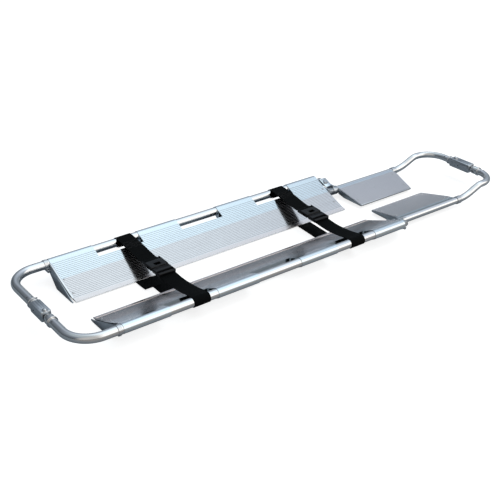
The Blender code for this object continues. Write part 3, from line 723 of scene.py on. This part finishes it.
def make_stitch_tree():
    """Stitches laid end to end along the edges of a line mesh."""
    tree, given, out = new_tree("stitches", {"Pitch": "float", "Thread": "float",
                                             "Material": "material"})
    line = add(tree, "GeometryNodeMeshToCurve", {0: given["Geometry"]})
    evenly = add(tree, "GeometryNodeCurveToPoints",
                 {"Curve": line.outputs[0], "Length": given["Pitch"]}, mode="LENGTH").outputs
    shape = bead(tree, 8, 5, given["Thread"], maths(tree, "MULTIPLY", given["Pitch"], 0.40))
    return close_tree(tree, given, out, evenly["Points"], shape,
                      upright(tree, evenly["Tangent"]))


RIBS = make_rib_tree()
RIVETS = make_rivet_tree()
STITCHES = make_stitch_tree()


def grow(name, tree, values, seed_mesh=None):
    """Run a geometry tree and keep its result as a plain mesh."""
    holder = link(name + "_seed", seed_mesh or bpy.data.meshes.new(name + "_seed"))
    modifier = holder.modifiers.new("grow", "NODES")
    modifier.node_group = tree
    for item in tree.interface.items_tree:
        if item.in_out == "INPUT" and item.name in values:
            modifier[item.identifier] = values[item.name]
    mesh = evaluated_mesh(holder)
    bpy.data.objects.remove(holder, do_unlink=True)
    return link(name, mesh)


def rivet_row(name, body, places, radius=0.0032, height=0.0013, finish_name="steel"):
    """Rivet heads at (point, facing) places, all on one body."""
    seed = bpy.data.meshes.new(name + "_points")
    seed.from_pydata([point for point, facing in places], [], [])
    attribute = seed.attributes.new("facing", "FLOAT_VECTOR", "POINT")
    for item, (point, facing) in zip(attribute.data, places):
        item.vector = facing
    made = grow(name, RIVETS, {"Radius": radius, "Height": height,
                               "Material": FINISHES[finish_name]}, seed)
    return fit(made, body, finish_name)


def stitch_line(name, body, lines, pitch=0.0032, thread=0.00045):
    """Rows of stitches along polylines, all on one body."""
    seed = bpy.data.meshes.new(name + "_lines")
    points, edges = [], []
    for line in lines:
        first = len(points)
        points += line
        edges += [(first + index, first + index + 1) for index in range(len(line) - 1)]
    seed.from_pydata(points, edges, [])
    made = grow(name, STITCHES, {"Pitch": pitch, "Thread": thread,
                                 "Material": FINISHES["thread"]}, seed)
    return fit(made, body, "thread")


# ---- tubes ----------------------------------------------------------------------------------

def straight_tube(node, finish_name="tube"):
    """A CAD tube along X, turned with a fine round section and broken rims."""
    low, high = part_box(node)
    radius = (high.z - low.z) / 2
    centre = (low + high) / 2
    made = collar(node + "_shape", centre, radius - TUBE_WALL, radius, high.x - low.x, "X", 0.0005)
    return fit(made, BODY_OF[node], finish_name, node)


def make_tubes(prefix, side):
    for part in ("rail_tube", "foot_tube", "slide_tube"):
        straight_tube(prefix + "_" + part)
    for part, inner in (("head_band", TUBE_R + GAP), ("foot_band", FOOT_R + GAP)):
        node = prefix + "_" + part
        low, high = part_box(node)
        made = collar(node + "_shape", (low + high) / 2, inner, (high.z - low.z) / 2,
                      high.x - low.x, "X", 0.0004)
        fit(made, BODY_OF[node], "steel", node)

    node = prefix + "_head_loop"
    low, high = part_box(node)
    seat = high.y if side < 0 else low.y
    corners = [(HEAD_X, seat, RAIL_Z), (HEAD_X, side * RAIL_Y, RAIL_Z),
               (high.x, side * RAIL_Y, RAIL_Z)]
    fit(bent_tube(node + "_shape", corners, HEAD_BENDS, TUBE_R), BODY_OF[node], "tube", node)

    node = prefix + "_foot_loop"
    low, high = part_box(node)
    seat = high.y if side < 0 else low.y
    y = side * FOOT_Y
    corners = [(low.x, y, FOOT_Z), (station(1.448), y, FOOT_Z), (station(1.516), y, RAIL_Z),
               (TOE_X, y, RAIL_Z), (TOE_X, seat, RAIL_Z)]
    fit(bent_tube(node + "_shape", corners, FOOT_BENDS, FOOT_R), BODY_OF[node], "tube", node)


# ---- blades ---------------------------------------------------------------------------------

def touch_point(corner, over):
    """Where a flat skin from a corner touches the sleeve: over it (1) or under it (-1)."""
    reach = Vector(RAIL) - Vector(corner)
    angle = math.atan2(reach.y, reach.x) + over * math.asin(SLEEVE_R / reach.length)
    return (RAIL_Y - over * SLEEVE_R * math.sin(angle), RAIL_Z + over * SLEEVE_R * math.cos(angle))


def height_on(start, end, y, drop=0.0):
    """Height at y of the line between two section points."""
    return start[1] + (y - start[0]) / (end[0] - start[0]) * (end[1] - start[1]) - drop


def blade_loops():
    """Outer outline of the blade section with its sleeve, the bore and the two hollows."""
    over, under = touch_point(CREASE, 1), touch_point(KEEL, -1)
    start = math.degrees(math.atan2(under[1] - RAIL_Z, under[0] - RAIL_Y))
    end = math.degrees(math.atan2(over[1] - RAIL_Z, over[0] - RAIL_Y))
    outline = arc(RAIL, SLEEVE_R, start, end, 45)
    outline += [CREASE, (RIB_FOOT[0] + 0.0012, RIB_FOOT[1] + 0.0005), RIB_FOOT,
                (LIP_EDGE[0] + 0.0010, LIP_EDGE[1]), (LIP_EDGE[0], LIP_EDGE[1] - 0.0009)]
    outline += [(LIP_EDGE[0], LIP_EDGE[1] - LIP_THICK), (LIP_EDGE[0] + 0.008, KEEL[1])]
    outline += [KEEL]
    web = SLOT_INNER_Y - 0.003
    main = [(web, height_on(CREASE, over, web, SKIN)), (CREASE[0], CREASE[1] - SKIN),
            (0.0740, height_on(RIB_FOOT, CREASE, 0.0740, SKIN)), (0.0740, KEEL[1] + 0.002),
            (KEEL[0] - 0.0010, KEEL[1] + 0.002), (web, height_on(KEEL, under, web, -KEEL_SKIN))]
    near, far = SLOT_INNER_Y + 0.003, 0.1870
    small = [(far, height_on(CREASE, over, far, SKIN)),
             (near, height_on(CREASE, over, near, SKIN)),
             (near, height_on(KEEL, under, near, -KEEL_SKIN)),
             (far, height_on(KEEL, under, far, -KEEL_SKIN))]
    return [outline, circle(RAIL, TUBE_R + GAP), main, small]


def rib_panel(name, side, low, high, count, x0, x1, radius, sink):
    """Ribs on a sloping panel between two (y, z) points."""
    step = Vector((0, side * (high[0] - low[0]), high[1] - low[1])) / count
    first = Vector((x0, side * low[0], low[1] - sink)) + step * 0.5
    return grow(name, RIBS, {"First": first, "Step": step, "Count": count, "Length": x1 - x0,
                             "Radius": radius, "Material": FINISHES["rib"]})


def make_blade(prefix, side):
    """The ribbed hollow blade: its section, slots, and ribs that stop at the slots."""
    body = BODY_OF[prefix + "_blade"]
    x0, x1 = BLADE_LOW.x, BLADE_HIGH.x
    blade = section(prefix + "_blade_shape", blade_loops(), x0, x1, side)
    for index, start in enumerate(SLOT_STARTS):
        edges = sorted((side * SLOT_INNER_Y, side * (RAIL_Y + 0.03)))
        low = (station(start), edges[0], -0.01)
        high = (station(start) + SLOT_LENGTH, edges[1], 0.10)
        cut(blade, block("slot_%d" % index, low, high))
    fit(blade, body, "blade", prefix + "_blade")

    over = touch_point(CREASE, 1)
    inner = (SLOT_INNER_Y, height_on(CREASE, over, SLOT_INNER_Y))
    outer = (0.1900, height_on(CREASE, over, 0.1900))
    lowest = (RIB_FOOT[0] + 0.0010, RIB_FOOT[1] + 0.0004)
    panels = [rib_panel(prefix + "_inner", side, lowest, CREASE, 13, x0 + RIB_INSET,
                        x1 - RIB_INSET, RIB_R, 0.00076),
              rib_panel(prefix + "_middle", side, CREASE, inner, 6, x0 + RIB_INSET,
                        x1 - RIB_INSET, RIB_R, 0.00080)]
    gaps = [x0] + [station(start) + shift for start in SLOT_STARTS for shift in (0, SLOT_LENGTH)]
    gaps.append(x1)
    for index in range(0, len(gaps), 2):
        panels.append(rib_panel(prefix + "_outer_%d" % index, side, inner, outer, 4,
                                gaps[index] + RIB_INSET, gaps[index + 1] - RIB_INSET,
                                RIB_R, 0.00080))
    # The ribs wear the darker rib finish, whose colour is painted shade along the grooves.
    fit(gather(prefix + "_blade_ribs", panels), body, "rib")

    # The lip face is a thin strip laid on the blade's lip to carry the painted reflection of the
    # lip finish.
    loop = [(LIP_EDGE[0] + 0.0012, LIP_EDGE[1] - 0.0001),
            (RIB_FOOT[0] - 0.0010, RIB_FOOT[1] - 0.0006),
            (RIB_FOOT[0] - 0.0012, RIB_FOOT[1] + 0.0001),
            (LIP_EDGE[0] + 0.0014, LIP_EDGE[1] + 0.0006)]
    fit(section(prefix + "_lip_face", [loop[::-1]], x0 + RIB_INSET, x1 - RIB_INSET,
                side), body, "lip")

    up = Vector((0, -side * 0.395, 0.919))
    head = [(station(0.139), 0.1300), (station(0.139), 0.0800)]
    foot = [(station(1.090), 0.1500), (station(1.090), 0.0900)]
    places = []
    for x, y in head + foot:
        z = height_on(RIB_FOOT, CREASE, y) if y <= CREASE[0] else height_on(CREASE, over, y)
        places.append(((x, side * y, z + RIVET_SINK), up))
    rivet_row(prefix + "_blade_rivets", body, places, 0.0030, 0.0016)


def make_end_details(prefix, side):
    """The flange strip and the clamp block at the blade's head end."""
    body = BODY_OF[prefix + "_blade"]
    over = touch_point(CREASE, 1)
    top = (0.1880, height_on(CREASE, over, 0.1880) + 0.0006)
    low = (RIB_FOOT[0] + 0.0010, RIB_FOOT[1] + 0.0010)
    bend = (CREASE[0], CREASE[1] + 0.0006)
    loop = [top, bend, low, (low[0] + 0.0008, low[1] - 0.0012), (bend[0], bend[1] - 0.0014),
            (top[0], top[1] - 0.0014)]
    x0 = BLADE_LOW.x
    flange = section(prefix + "_end_flange", [loop], x0 - 0.0030, x0 + 0.0022, side)
    fit(soften(flange, 0.0003), body, "tube")
    edges = sorted((side * 0.1890, side * 0.2080))
    under = RAIL_Z - TUBE_R
    clamp = block(prefix + "_clamp_block", (station(0.1185), edges[0], under - 0.0062),
                  (station(0.1275), edges[1], under + 0.002), 0.0012)
    collar_bore = turned("bore", [(TUBE_R + GAP, -0.02), (TUBE_R + GAP, 0.02)],
                         (station(0.123), side * RAIL_Y, RAIL_Z))
    cut(clamp, collar_bore)
    fit(clamp, body, "casting")


# ---- foot section ---------------------------------------------------------------------------

def foot_plate_loops():
    """A shallow hollow wedge that ends against the foot tube."""
    edge_y, edge_z = PLATE_INNER
    seat = arc((FOOT_Y, FOOT_Z), FOOT_R + GAP, 112, 215, 22)
    outer = [(edge_y + 0.0008, edge_z), (edge_y, edge_z - 0.0008), (edge_y, edge_z - 0.0045),
             (edge_y + 0.010, edge_z - 0.0060), (0.1080, 0.0105)] + seat[::-1]
    top = seat[0]
    inner = [(0.0420, height_on((edge_y, edge_z), top, 0.0420, SKIN)), (0.0420, edge_z - 0.0040),
             (0.1075, 0.0128), (0.1310, 0.0178),
             (0.1330, height_on((edge_y, edge_z), top, 0.1330, SKIN))]
    return outer, inner, top


def slant_cutter(side):
    """Removes everything beyond the plate's slanted foot end."""
    tool = block("slant", (0, -0.20, -0.05), (0.10, 0.20, 0.10))
    tool.data.transform(Matrix.Rotation(-side * math.radians(PLATE_SLANT), 4, "Z"))
    tool.data.transform(Matrix.Translation((station(PLATE_FOOT), side * PLATE_INNER[0], 0)))
    return tool


def make_foot_plate(prefix, side):
    body = BODY_OF[prefix + "_foot_plate"]
    outer, inner, top = foot_plate_loops()
    head, foot = station(PLATE_HEAD), station(1.400)
    plate = section(prefix + "_foot_plate_shape", [outer, inner], head, foot, side)
    cut(plate, slant_cutter(side))
    fit(plate, body, "blade", prefix + "_foot_plate")
    first = (PLATE_INNER[0] + 0.0040, height_on(PLATE_INNER, top, PLATE_INNER[0] + 0.0040))
    last = (top[0] - 0.0060, height_on(PLATE_INNER, top, top[0] - 0.0060))
    ribs = rib_panel(prefix + "_foot_plate_ribs", side, first, last, 24, head + 0.001, foot,
                     0.00100, 0.00070)
    cut(ribs, slant_cutter(side))
    fit(ribs, body, "blade")
    x0, x1 = head - 0.0002, station(PLATE_FOOT)
    lift = 0.0006
    bevel_loop = [(PLATE_INNER[0] + 0.0036, PLATE_INNER[1] + lift + 0.0002),
                  (PLATE_INNER[0] + 0.0002, PLATE_INNER[1] + lift - 0.0004),
                  (PLATE_INNER[0] + 0.0002, PLATE_INNER[1] - 0.0012),
                  (PLATE_INNER[0] + 0.0036, PLATE_INNER[1] - 0.0008)]
    trim = section(prefix + "_foot_plate_trim", [bevel_loop], x0, x1 - 0.0006, side)
    fit(soften(trim, 0.0003), body, "tube")
    up = Vector((0, -side * 0.16, 0.987))
    places = []
    for distance, y in ((1.162, 0.120), (1.162, 0.052), (1.270, 0.085), (1.372, 0.052),
                        (1.384, 0.118)):
        z = height_on(PLATE_INNER, top, y)
        places.append(((station(distance), side * y, z + RIVET_SINK), up))
    rivet_row(prefix + "_foot_plate_rivets", body, places, 0.0028, 0.0014)
    ring = collar(prefix + "_joint_ring", (FOOT_LOW.x + 0.0200, side * FOOT_Y, FOOT_Z),
                  FOOT_R + 0.0001, FOOT_R + 0.0014, 0.0040)
    fit(ring, body, "tube")


# ---- fold hinge and small castings ------------------------------------------------------------

def make_castings():
    """The CAD pieces whose shape is already the real one, with welded, rounded edges."""
    for prefix in SIDES:
        for part, finish_name in (("rail_end_cap", "casting"), ("head_cheek", "casting"),
                                  ("end_plate", "casting"), ("carriage", "casting"),
                                  ("fold_leaf", "casting"), ("hinge_pin", "steel"),
                                  ("lock_knob", "steel"), ("foot_plate_cheek", "casting"),
                                  ("guide_tube", "tube")):
            smoothed_copy(prefix + "_" + part, finish_name)
    for prefix in ("head", "foot"):
        for part, finish_name in (("socket", "casting"), ("tongue", "steel"),
                                  ("knuckle", "tube"), ("knuckle_pin", "steel")):
            smoothed_copy(prefix + "_" + part, finish_name)
        smoothed_copy(prefix + "_button_spring", "steel", 0)


def make_hinge_details(prefix, side):
    """The pin head, the hinge cover and the bolts that hold the castings."""
    node = prefix + "_hinge_pin"
    low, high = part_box(node)
    middle = (low + high) / 2
    outer = high.y if side > 0 else low.y
    rivet_row(prefix + "_hinge_pin_head", BODY_OF[node],
              [((middle.x, outer - side * 0.0004, middle.z), (0, side, 0))], 0.0040, 0.0009)
    low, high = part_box(prefix + "_carriage")
    up = (0, 0, 1)
    back = BODY_OF[prefix + "_carriage"]
    places = [((low.x + 0.0026, side * y, 0.0396), up) for y in (0.142, 0.160, 0.180)]
    rivet_row(prefix + "_carriage_bolts", back, places, 0.0022, 0.0012)
    loop = [(COVER_FOOT[0], COVER_FOOT[1] - COVER_SKIN), (COVER_TOP[0], COVER_TOP[1] - COVER_SKIN),
            COVER_TOP, COVER_FOOT]
    x0, x1 = (station(distance) for distance in COVER_SPAN)
    cover = section(prefix + "_hinge_cover", [loop], x0, x1, side)
    leaf = BODY_OF[prefix + "_fold_leaf"]
    fit(soften(cover, 0.0004), leaf, "blade")
    up = Vector((0, -side * 0.389, 0.921))
    places = [((x, side * 0.1840, height_on(COVER_FOOT, COVER_TOP, 0.1840) + 0.0002), up)
              for x in (x0 + 0.0060, x1 - 0.0060)]
    rivet_row(prefix + "_hinge_cover_bolts", leaf, places, 0.0026, 0.0016)
    cap_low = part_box(prefix + "_rail_end_cap")[0]
    rivet_row(prefix + "_cap_bolt", BODY_OF[prefix + "_rail_end_cap"],
              [((cap_low.x - 0.008, side * RAIL_Y, RAIL_Z + SLEEVE_R - 0.0002), up)],
              0.0028, 0.0014)


# ---- couplings --------------------------------------------------------------------------------

def make_coupling(prefix, x, tube_radius):
    """Trim of one coupling: ribs and grooves on its block, end rings, button dome, screws."""
    node = prefix + "_socket"
    low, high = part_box(node)
    body = BODY_OF[node]
    half = BLOCK_HALF
    top = RAIL_Z + half
    block_end = high.y - 0.0140
    button_low, button_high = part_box(prefix + "_button")
    button_y = (button_low.y + button_high.y) / 2
    towards = -1 if button_y < 0 else 1
    rib_ends = sorted((button_y - towards * 0.0120, (low.y + 0.006) if towards > 0
                       else block_end - 0.006))
    bars = []
    for offset in (-0.0072, 0.0, 0.0072):
        bars.append(block("bar", (x + offset - 0.0018, rib_ends[0], top - 0.0020),
                          (x + offset + 0.0018, rib_ends[1], top + 0.0009), 0.0008))
    for sign in (-1, 1):
        for height in (-0.0050, 0.0050):
            places = sorted((x + sign * (half - 0.0020), x + sign * (half + 0.0008)))
            bars.append(block("bar", (places[0], low.y + 0.008, RAIL_Z + height - 0.0016),
                              (places[1], block_end - 0.008, RAIL_Z + height + 0.0016), 0.0007))
    fit(gather(prefix + "_socket_ribs", bars), body, "casting")
    rings = [collar("ring", (x, high.y - 0.0022, RAIL_Z), tube_radius + 0.0017,
                    tube_radius + 0.0032, 0.0044, "Y"),
             collar("ring", (x, block_end + 0.0020, RAIL_Z), tube_radius + 0.0017,
                    tube_radius + 0.0030, 0.0030, "Y")]
    fit(gather(prefix + "_socket_rings", rings), body, "tube")
    seat = collar(prefix + "_button_seat", (x, button_y, top + 0.0001), 0.0067, 0.0092, 0.0012,
                  "Z", 0.0004)
    fit(seat, body, "steel")

    dome = [(0.0, -0.0022), (0.0060, -0.0022), (CAP_R, -0.0018), (CAP_R, 0.0016)]
    crown = button_high.z - RAIL_Z - 0.0166
    for step in range(1, 9):
        angle = math.pi / 2 * step / 8
        dome.append((CAP_R * math.cos(angle) + 0.00001, 0.0016 + crown * math.sin(angle)))
    shaft_foot = button_low.z - top
    stem = [(0.00001, shaft_foot), (0.0038, shaft_foot), (0.0038, -0.0024), (0.0058, -0.0024)]
    cap = turned(prefix + "_button_shape", stem + dome[1:], (x, button_y, top), "Z")
    fit(cap, BODY_OF[prefix + "_button"], "steel", prefix + "_button")

    knuckle_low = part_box(prefix + "_knuckle")[0]
    knuckle_body = BODY_OF[prefix + "_knuckle"]
    ring = collar(prefix + "_knuckle_ring", (x, knuckle_low.y + 0.0022, RAIL_Z),
                  tube_radius + 0.0019, tube_radius + 0.0034, 0.0044, "Y")
    fit(ring, knuckle_body, "tube")
    far = [((x - 0.0070, high.y + 0.016, RAIL_Z + tube_radius - 0.0026), (-0.55, 0, 0.83)),
           ((x + 0.0040, high.y + 0.010, RAIL_Z + tube_radius - 0.0012), (0.3, 0, 0.95)),
           ((x - half - 0.0003, 0.004, RAIL_Z), (-1, 0, 0)),
           ((x + 0.0105, -towards * 0.030 + 0.004, top - 0.0004), (0, 0, 1))]
    rivet_row(prefix + "_socket_screws", body, far, 0.0021, 0.0008, "dark_steel")
    near = [((x - 0.0070, knuckle_low.y - 0.012, RAIL_Z + tube_radius - 0.0026), (-0.55, 0, 0.83)),
            ((x + 0.0040, knuckle_low.y - 0.018, RAIL_Z + tube_radius - 0.0012), (0.3, 0, 0.95))]
    rivet_row(prefix + "_knuckle_screws", knuckle_body, near, 0.0021, 0.0008, "dark_steel")


# ---- straps -----------------------------------------------------------------------------------

def smooth_run(points, per_span=10):
    """A Catmull-Rom curve through a few given points."""
    padded = [points[0]] + list(points) + [points[-1]]
    curve = []
    for index in range(len(points) - 1):
        p0, p1, p2, p3 = (Vector(p) for p in padded[index:index + 4])
        for step in range(per_span):
            t = step / per_span
            curve.append(0.5 * ((2 * p1) + (p2 - p0) * t + (2 * p0 - 5 * p1 + 4 * p2 - p3) * t * t
                                + (3 * p1 - p0 - 3 * p2 + p3) * t ** 3))
    curve.append(Vector(points[-1]))
    return curve


def strap_x(name, y):
    """Where a strap's centre line crosses the stretcher at y."""
    near, far = STRAPS[name]
    return station((near + far) / 2 + (far - near) * y / (2 * RAIL_Y))


def webbing(piece_name, strap, path, side, thick=STRAP_THICK, phase=0.0, shift=0.0):
    """Webbing swept along a (y, z) path: rounded selvages, a faint ripple, its own UV map."""
    half = STRAP_HALF
    columns = 12
    ring = []
    for index in range(columns + 1):
        ring.append((-half + 2 * half * index / columns, 0.5))
    ring += [(half + 0.0004, 0.0)]
    for index in range(columns + 1):
        ring.append((half - 2 * half * index / columns, -0.5))
    ring += [(-half - 0.0004, 0.0)]
    bm = bmesh.new()
    layer = bm.loops.layers.uv.new("webbing")
    rows, travelled = [], 0.0
    places = {}
    for index, point in enumerate(path):
        before, after = path[max(index - 1, 0)], path[min(index + 1, len(path) - 1)]
        heading = (Vector(after) - Vector(before)).normalized()
        normal = Vector((-heading.y, heading.x))
        if index:
            travelled += (Vector(point) - Vector(path[index - 1])).length
        row = []
        for across, level in ring:
            edge = abs(across) / half
            body_thick = thick * (0.86 + 0.14 * (edge > 0.9))
            ripple = 0.00018 * math.sin(travelled * 70 + across * 60 + phase) * (1 - edge * 0.3)
            spot = Vector(point) + normal * (level * body_thick + ripple)
            y = side * spot.x
            vertex = bm.verts.new((strap_x(strap, y) + shift + across, y, spot.y))
            places[vertex] = ((across + half) / (2 * half), travelled)
            row.append(vertex)
        rows.append(row)
    bridge(bm, rows)
    bm.faces.new(rows[0][::-1])
    bm.faces.new(rows[-1])
    bmesh.ops.recalc_face_normals(bm, faces=bm.faces)
    for face in bm.faces:
        for corner in face.loops:
            corner[layer].uv = places[corner.vert]
    return link(piece_name, mesh_of(bm, piece_name))


def far_path():
    """Sewn loop round the left rail, over the top and down to the buckle's bar."""
    loop = [Vector(p) for p in arc(RAIL, WRAP_R, -150, 96, 44)]
    run = smooth_run([(0.1880, 0.0658), FIRST_RUN, LAST_RUN, (0.0970, 0.0566),
                      (0.0640, 0.0535), (0.0530, 0.0558), (0.0470, 0.0566), (0.0370, 0.0566)])
    return loop + run


def near_path():
    """From the buckle over and round the right rail, then under both blades."""
    run = smooth_run([(0.0310, 0.0525), (0.0700, 0.0500), (0.1060, 0.0505), (0.1500, 0.0555),
                      (0.1850, 0.0623)])
    turn = [Vector(p) for p in arc(RAIL, WRAP_R, 108, -118, 40)]
    under = smooth_run([turn[-1], (0.1680, 0.0125), (0.1530, 0.0024), (0.1450, 0.0014),
                        (0.0900, 0.0014), (0.0, 0.0014), (-0.1300, 0.0014)], 6)
    return run + turn[:-1] + under


def make_strap(strap):
    """Both runs of one strap, the sewn-down tail of its loop, its stitching and, on strap_1, a
    loose end.
    """
    far_body, near_body = BODY_OF[strap + "_far_webbing"], BODY_OF[strap + "_near_webbing"]
    fit(webbing(strap + "_far_strap", strap, far_path(), 1), far_body, "webbing",
        strap + "_far_webbing")
    fit(webbing(strap + "_near_strap", strap, near_path(), -1), near_body, "webbing",
        strap + "_near_webbing")
    tail = smooth_run([(0.1930, 0.0411), (0.1840, 0.0480), (0.1760, 0.0600), (0.1690, 0.0624),
                       (0.1500, 0.0609), (0.1290, 0.0590)])
    fit(webbing(strap + "_loop_tail", strap, tail, 1, phase=1.3), far_body, "webbing")
    if strap == "strap_1":
        loose = smooth_run([(0.0850, 0.0022), (0.0300, 0.0022), (0.0100, 0.0026),
                            (-0.0060, 0.0040)])
        fit(webbing(strap + "_loose_end", strap, loose, 1, 0.0009, 0.4, LOOSE_END_SHIFT),
            near_body, "webbing")
    lines = []
    for y0, y1 in ((0.134, 0.150), (0.152, 0.168)):
        corners = [(-1, y0), (1, y0), (1, y1), (-1, y1), (-1, y0), (1, y1)]
        line = []
        for across, y in corners:
            z = height_on(LAST_RUN, FIRST_RUN, y) + STRAP_THICK / 2 + 0.0002
            line.append((strap_x(strap, y) + across * (STRAP_HALF - 0.004), y, z))
        lines.append(line)
        lines.append([line[3], line[1]])
    stitch_line(strap + "_stitches", far_body, lines)


def make_buckle(strap):
    """A side-release buckle with a centre bar, spring prongs and a ladder-lock end."""
    def lay(made):
        for vertex in made.data.vertices:
            vertex.co.x += strap_x(strap, vertex.co.y)
        return made

    node = strap + "_buckle_female"
    body = block(node + "_shape", (-0.0290, -0.0020, 0.0505), (0.0290, 0.0500, 0.0625), 0.0040, 4)
    cut(body, block("mouth", (-0.0240, -0.0100, 0.0527), (0.0240, 0.0240, 0.0601), 0.0010))
    cut(body, block("window", (-0.0262, 0.0330, 0.0400), (0.0262, 0.0445, 0.0800)))
    cut(body, block("web_seat", (-0.0262, 0.0330, 0.0551), (0.0262, 0.0700, 0.0800)))
    for sign in (-1, 1):
        edges = sorted((sign * 0.0215, sign * 0.0400))
        cut(body, block("side_window", (edges[0], 0.0040, 0.0535), (edges[1], 0.0200, 0.0595),
                        0.0015))
    cut(body, block("top_window", (-0.0100, 0.0040, 0.0590), (0.0100, 0.0180, 0.0800), 0.0015))
    fit(lay(soften(body, 0.0005)), BODY_OF[node], "buckle", node)

    node = strap + "_buckle_male"
    body = block(node + "_shape", (-0.0280, -0.0440, 0.0500), (0.0280, -0.0040, 0.0610), 0.0034, 4)
    join(body, block("tongue", (-0.0205, -0.0060, 0.0545), (0.0205, 0.0080, 0.0585), 0.0008))
    cut(body, block("fork", (-0.0060, -0.0010, 0.0400), (0.0060, 0.0500, 0.0800)))
    cut(body, block("web_window", (-0.0258, -0.0390, 0.0400), (0.0258, -0.0270, 0.0800)))
    cut(body, block("web_path", (-0.0258, -0.0700, 0.0400), (0.0258, -0.0270, 0.0540)))
    for y in (-0.0150, -0.0110, -0.0070):
        cut(body, block("grip", (-0.0230, y - 0.0011, 0.0602), (0.0230, y + 0.0011, 0.0800)))
    fit(lay(soften(body, 0.0004)), BODY_OF[node], "buckle", node)


# ---- build ------------------------------------------------------------------------------------

place_camera()
light_studio()
lay_floor()
for prefix, side in SIDES.items():
    make_tubes(prefix, side)
    make_blade(prefix, side)
    make_end_details(prefix, side)
    make_foot_plate(prefix, side)
    make_hinge_details(prefix, side)
make_castings()
make_coupling("head", HEAD_X, TUBE_R)
make_coupling("foot", TOE_X, FOOT_R)
for strap in STRAPS:
    make_strap(strap)
    make_buckle(strap)
bpy.context.scene.view_settings.view_transform = "Standard"
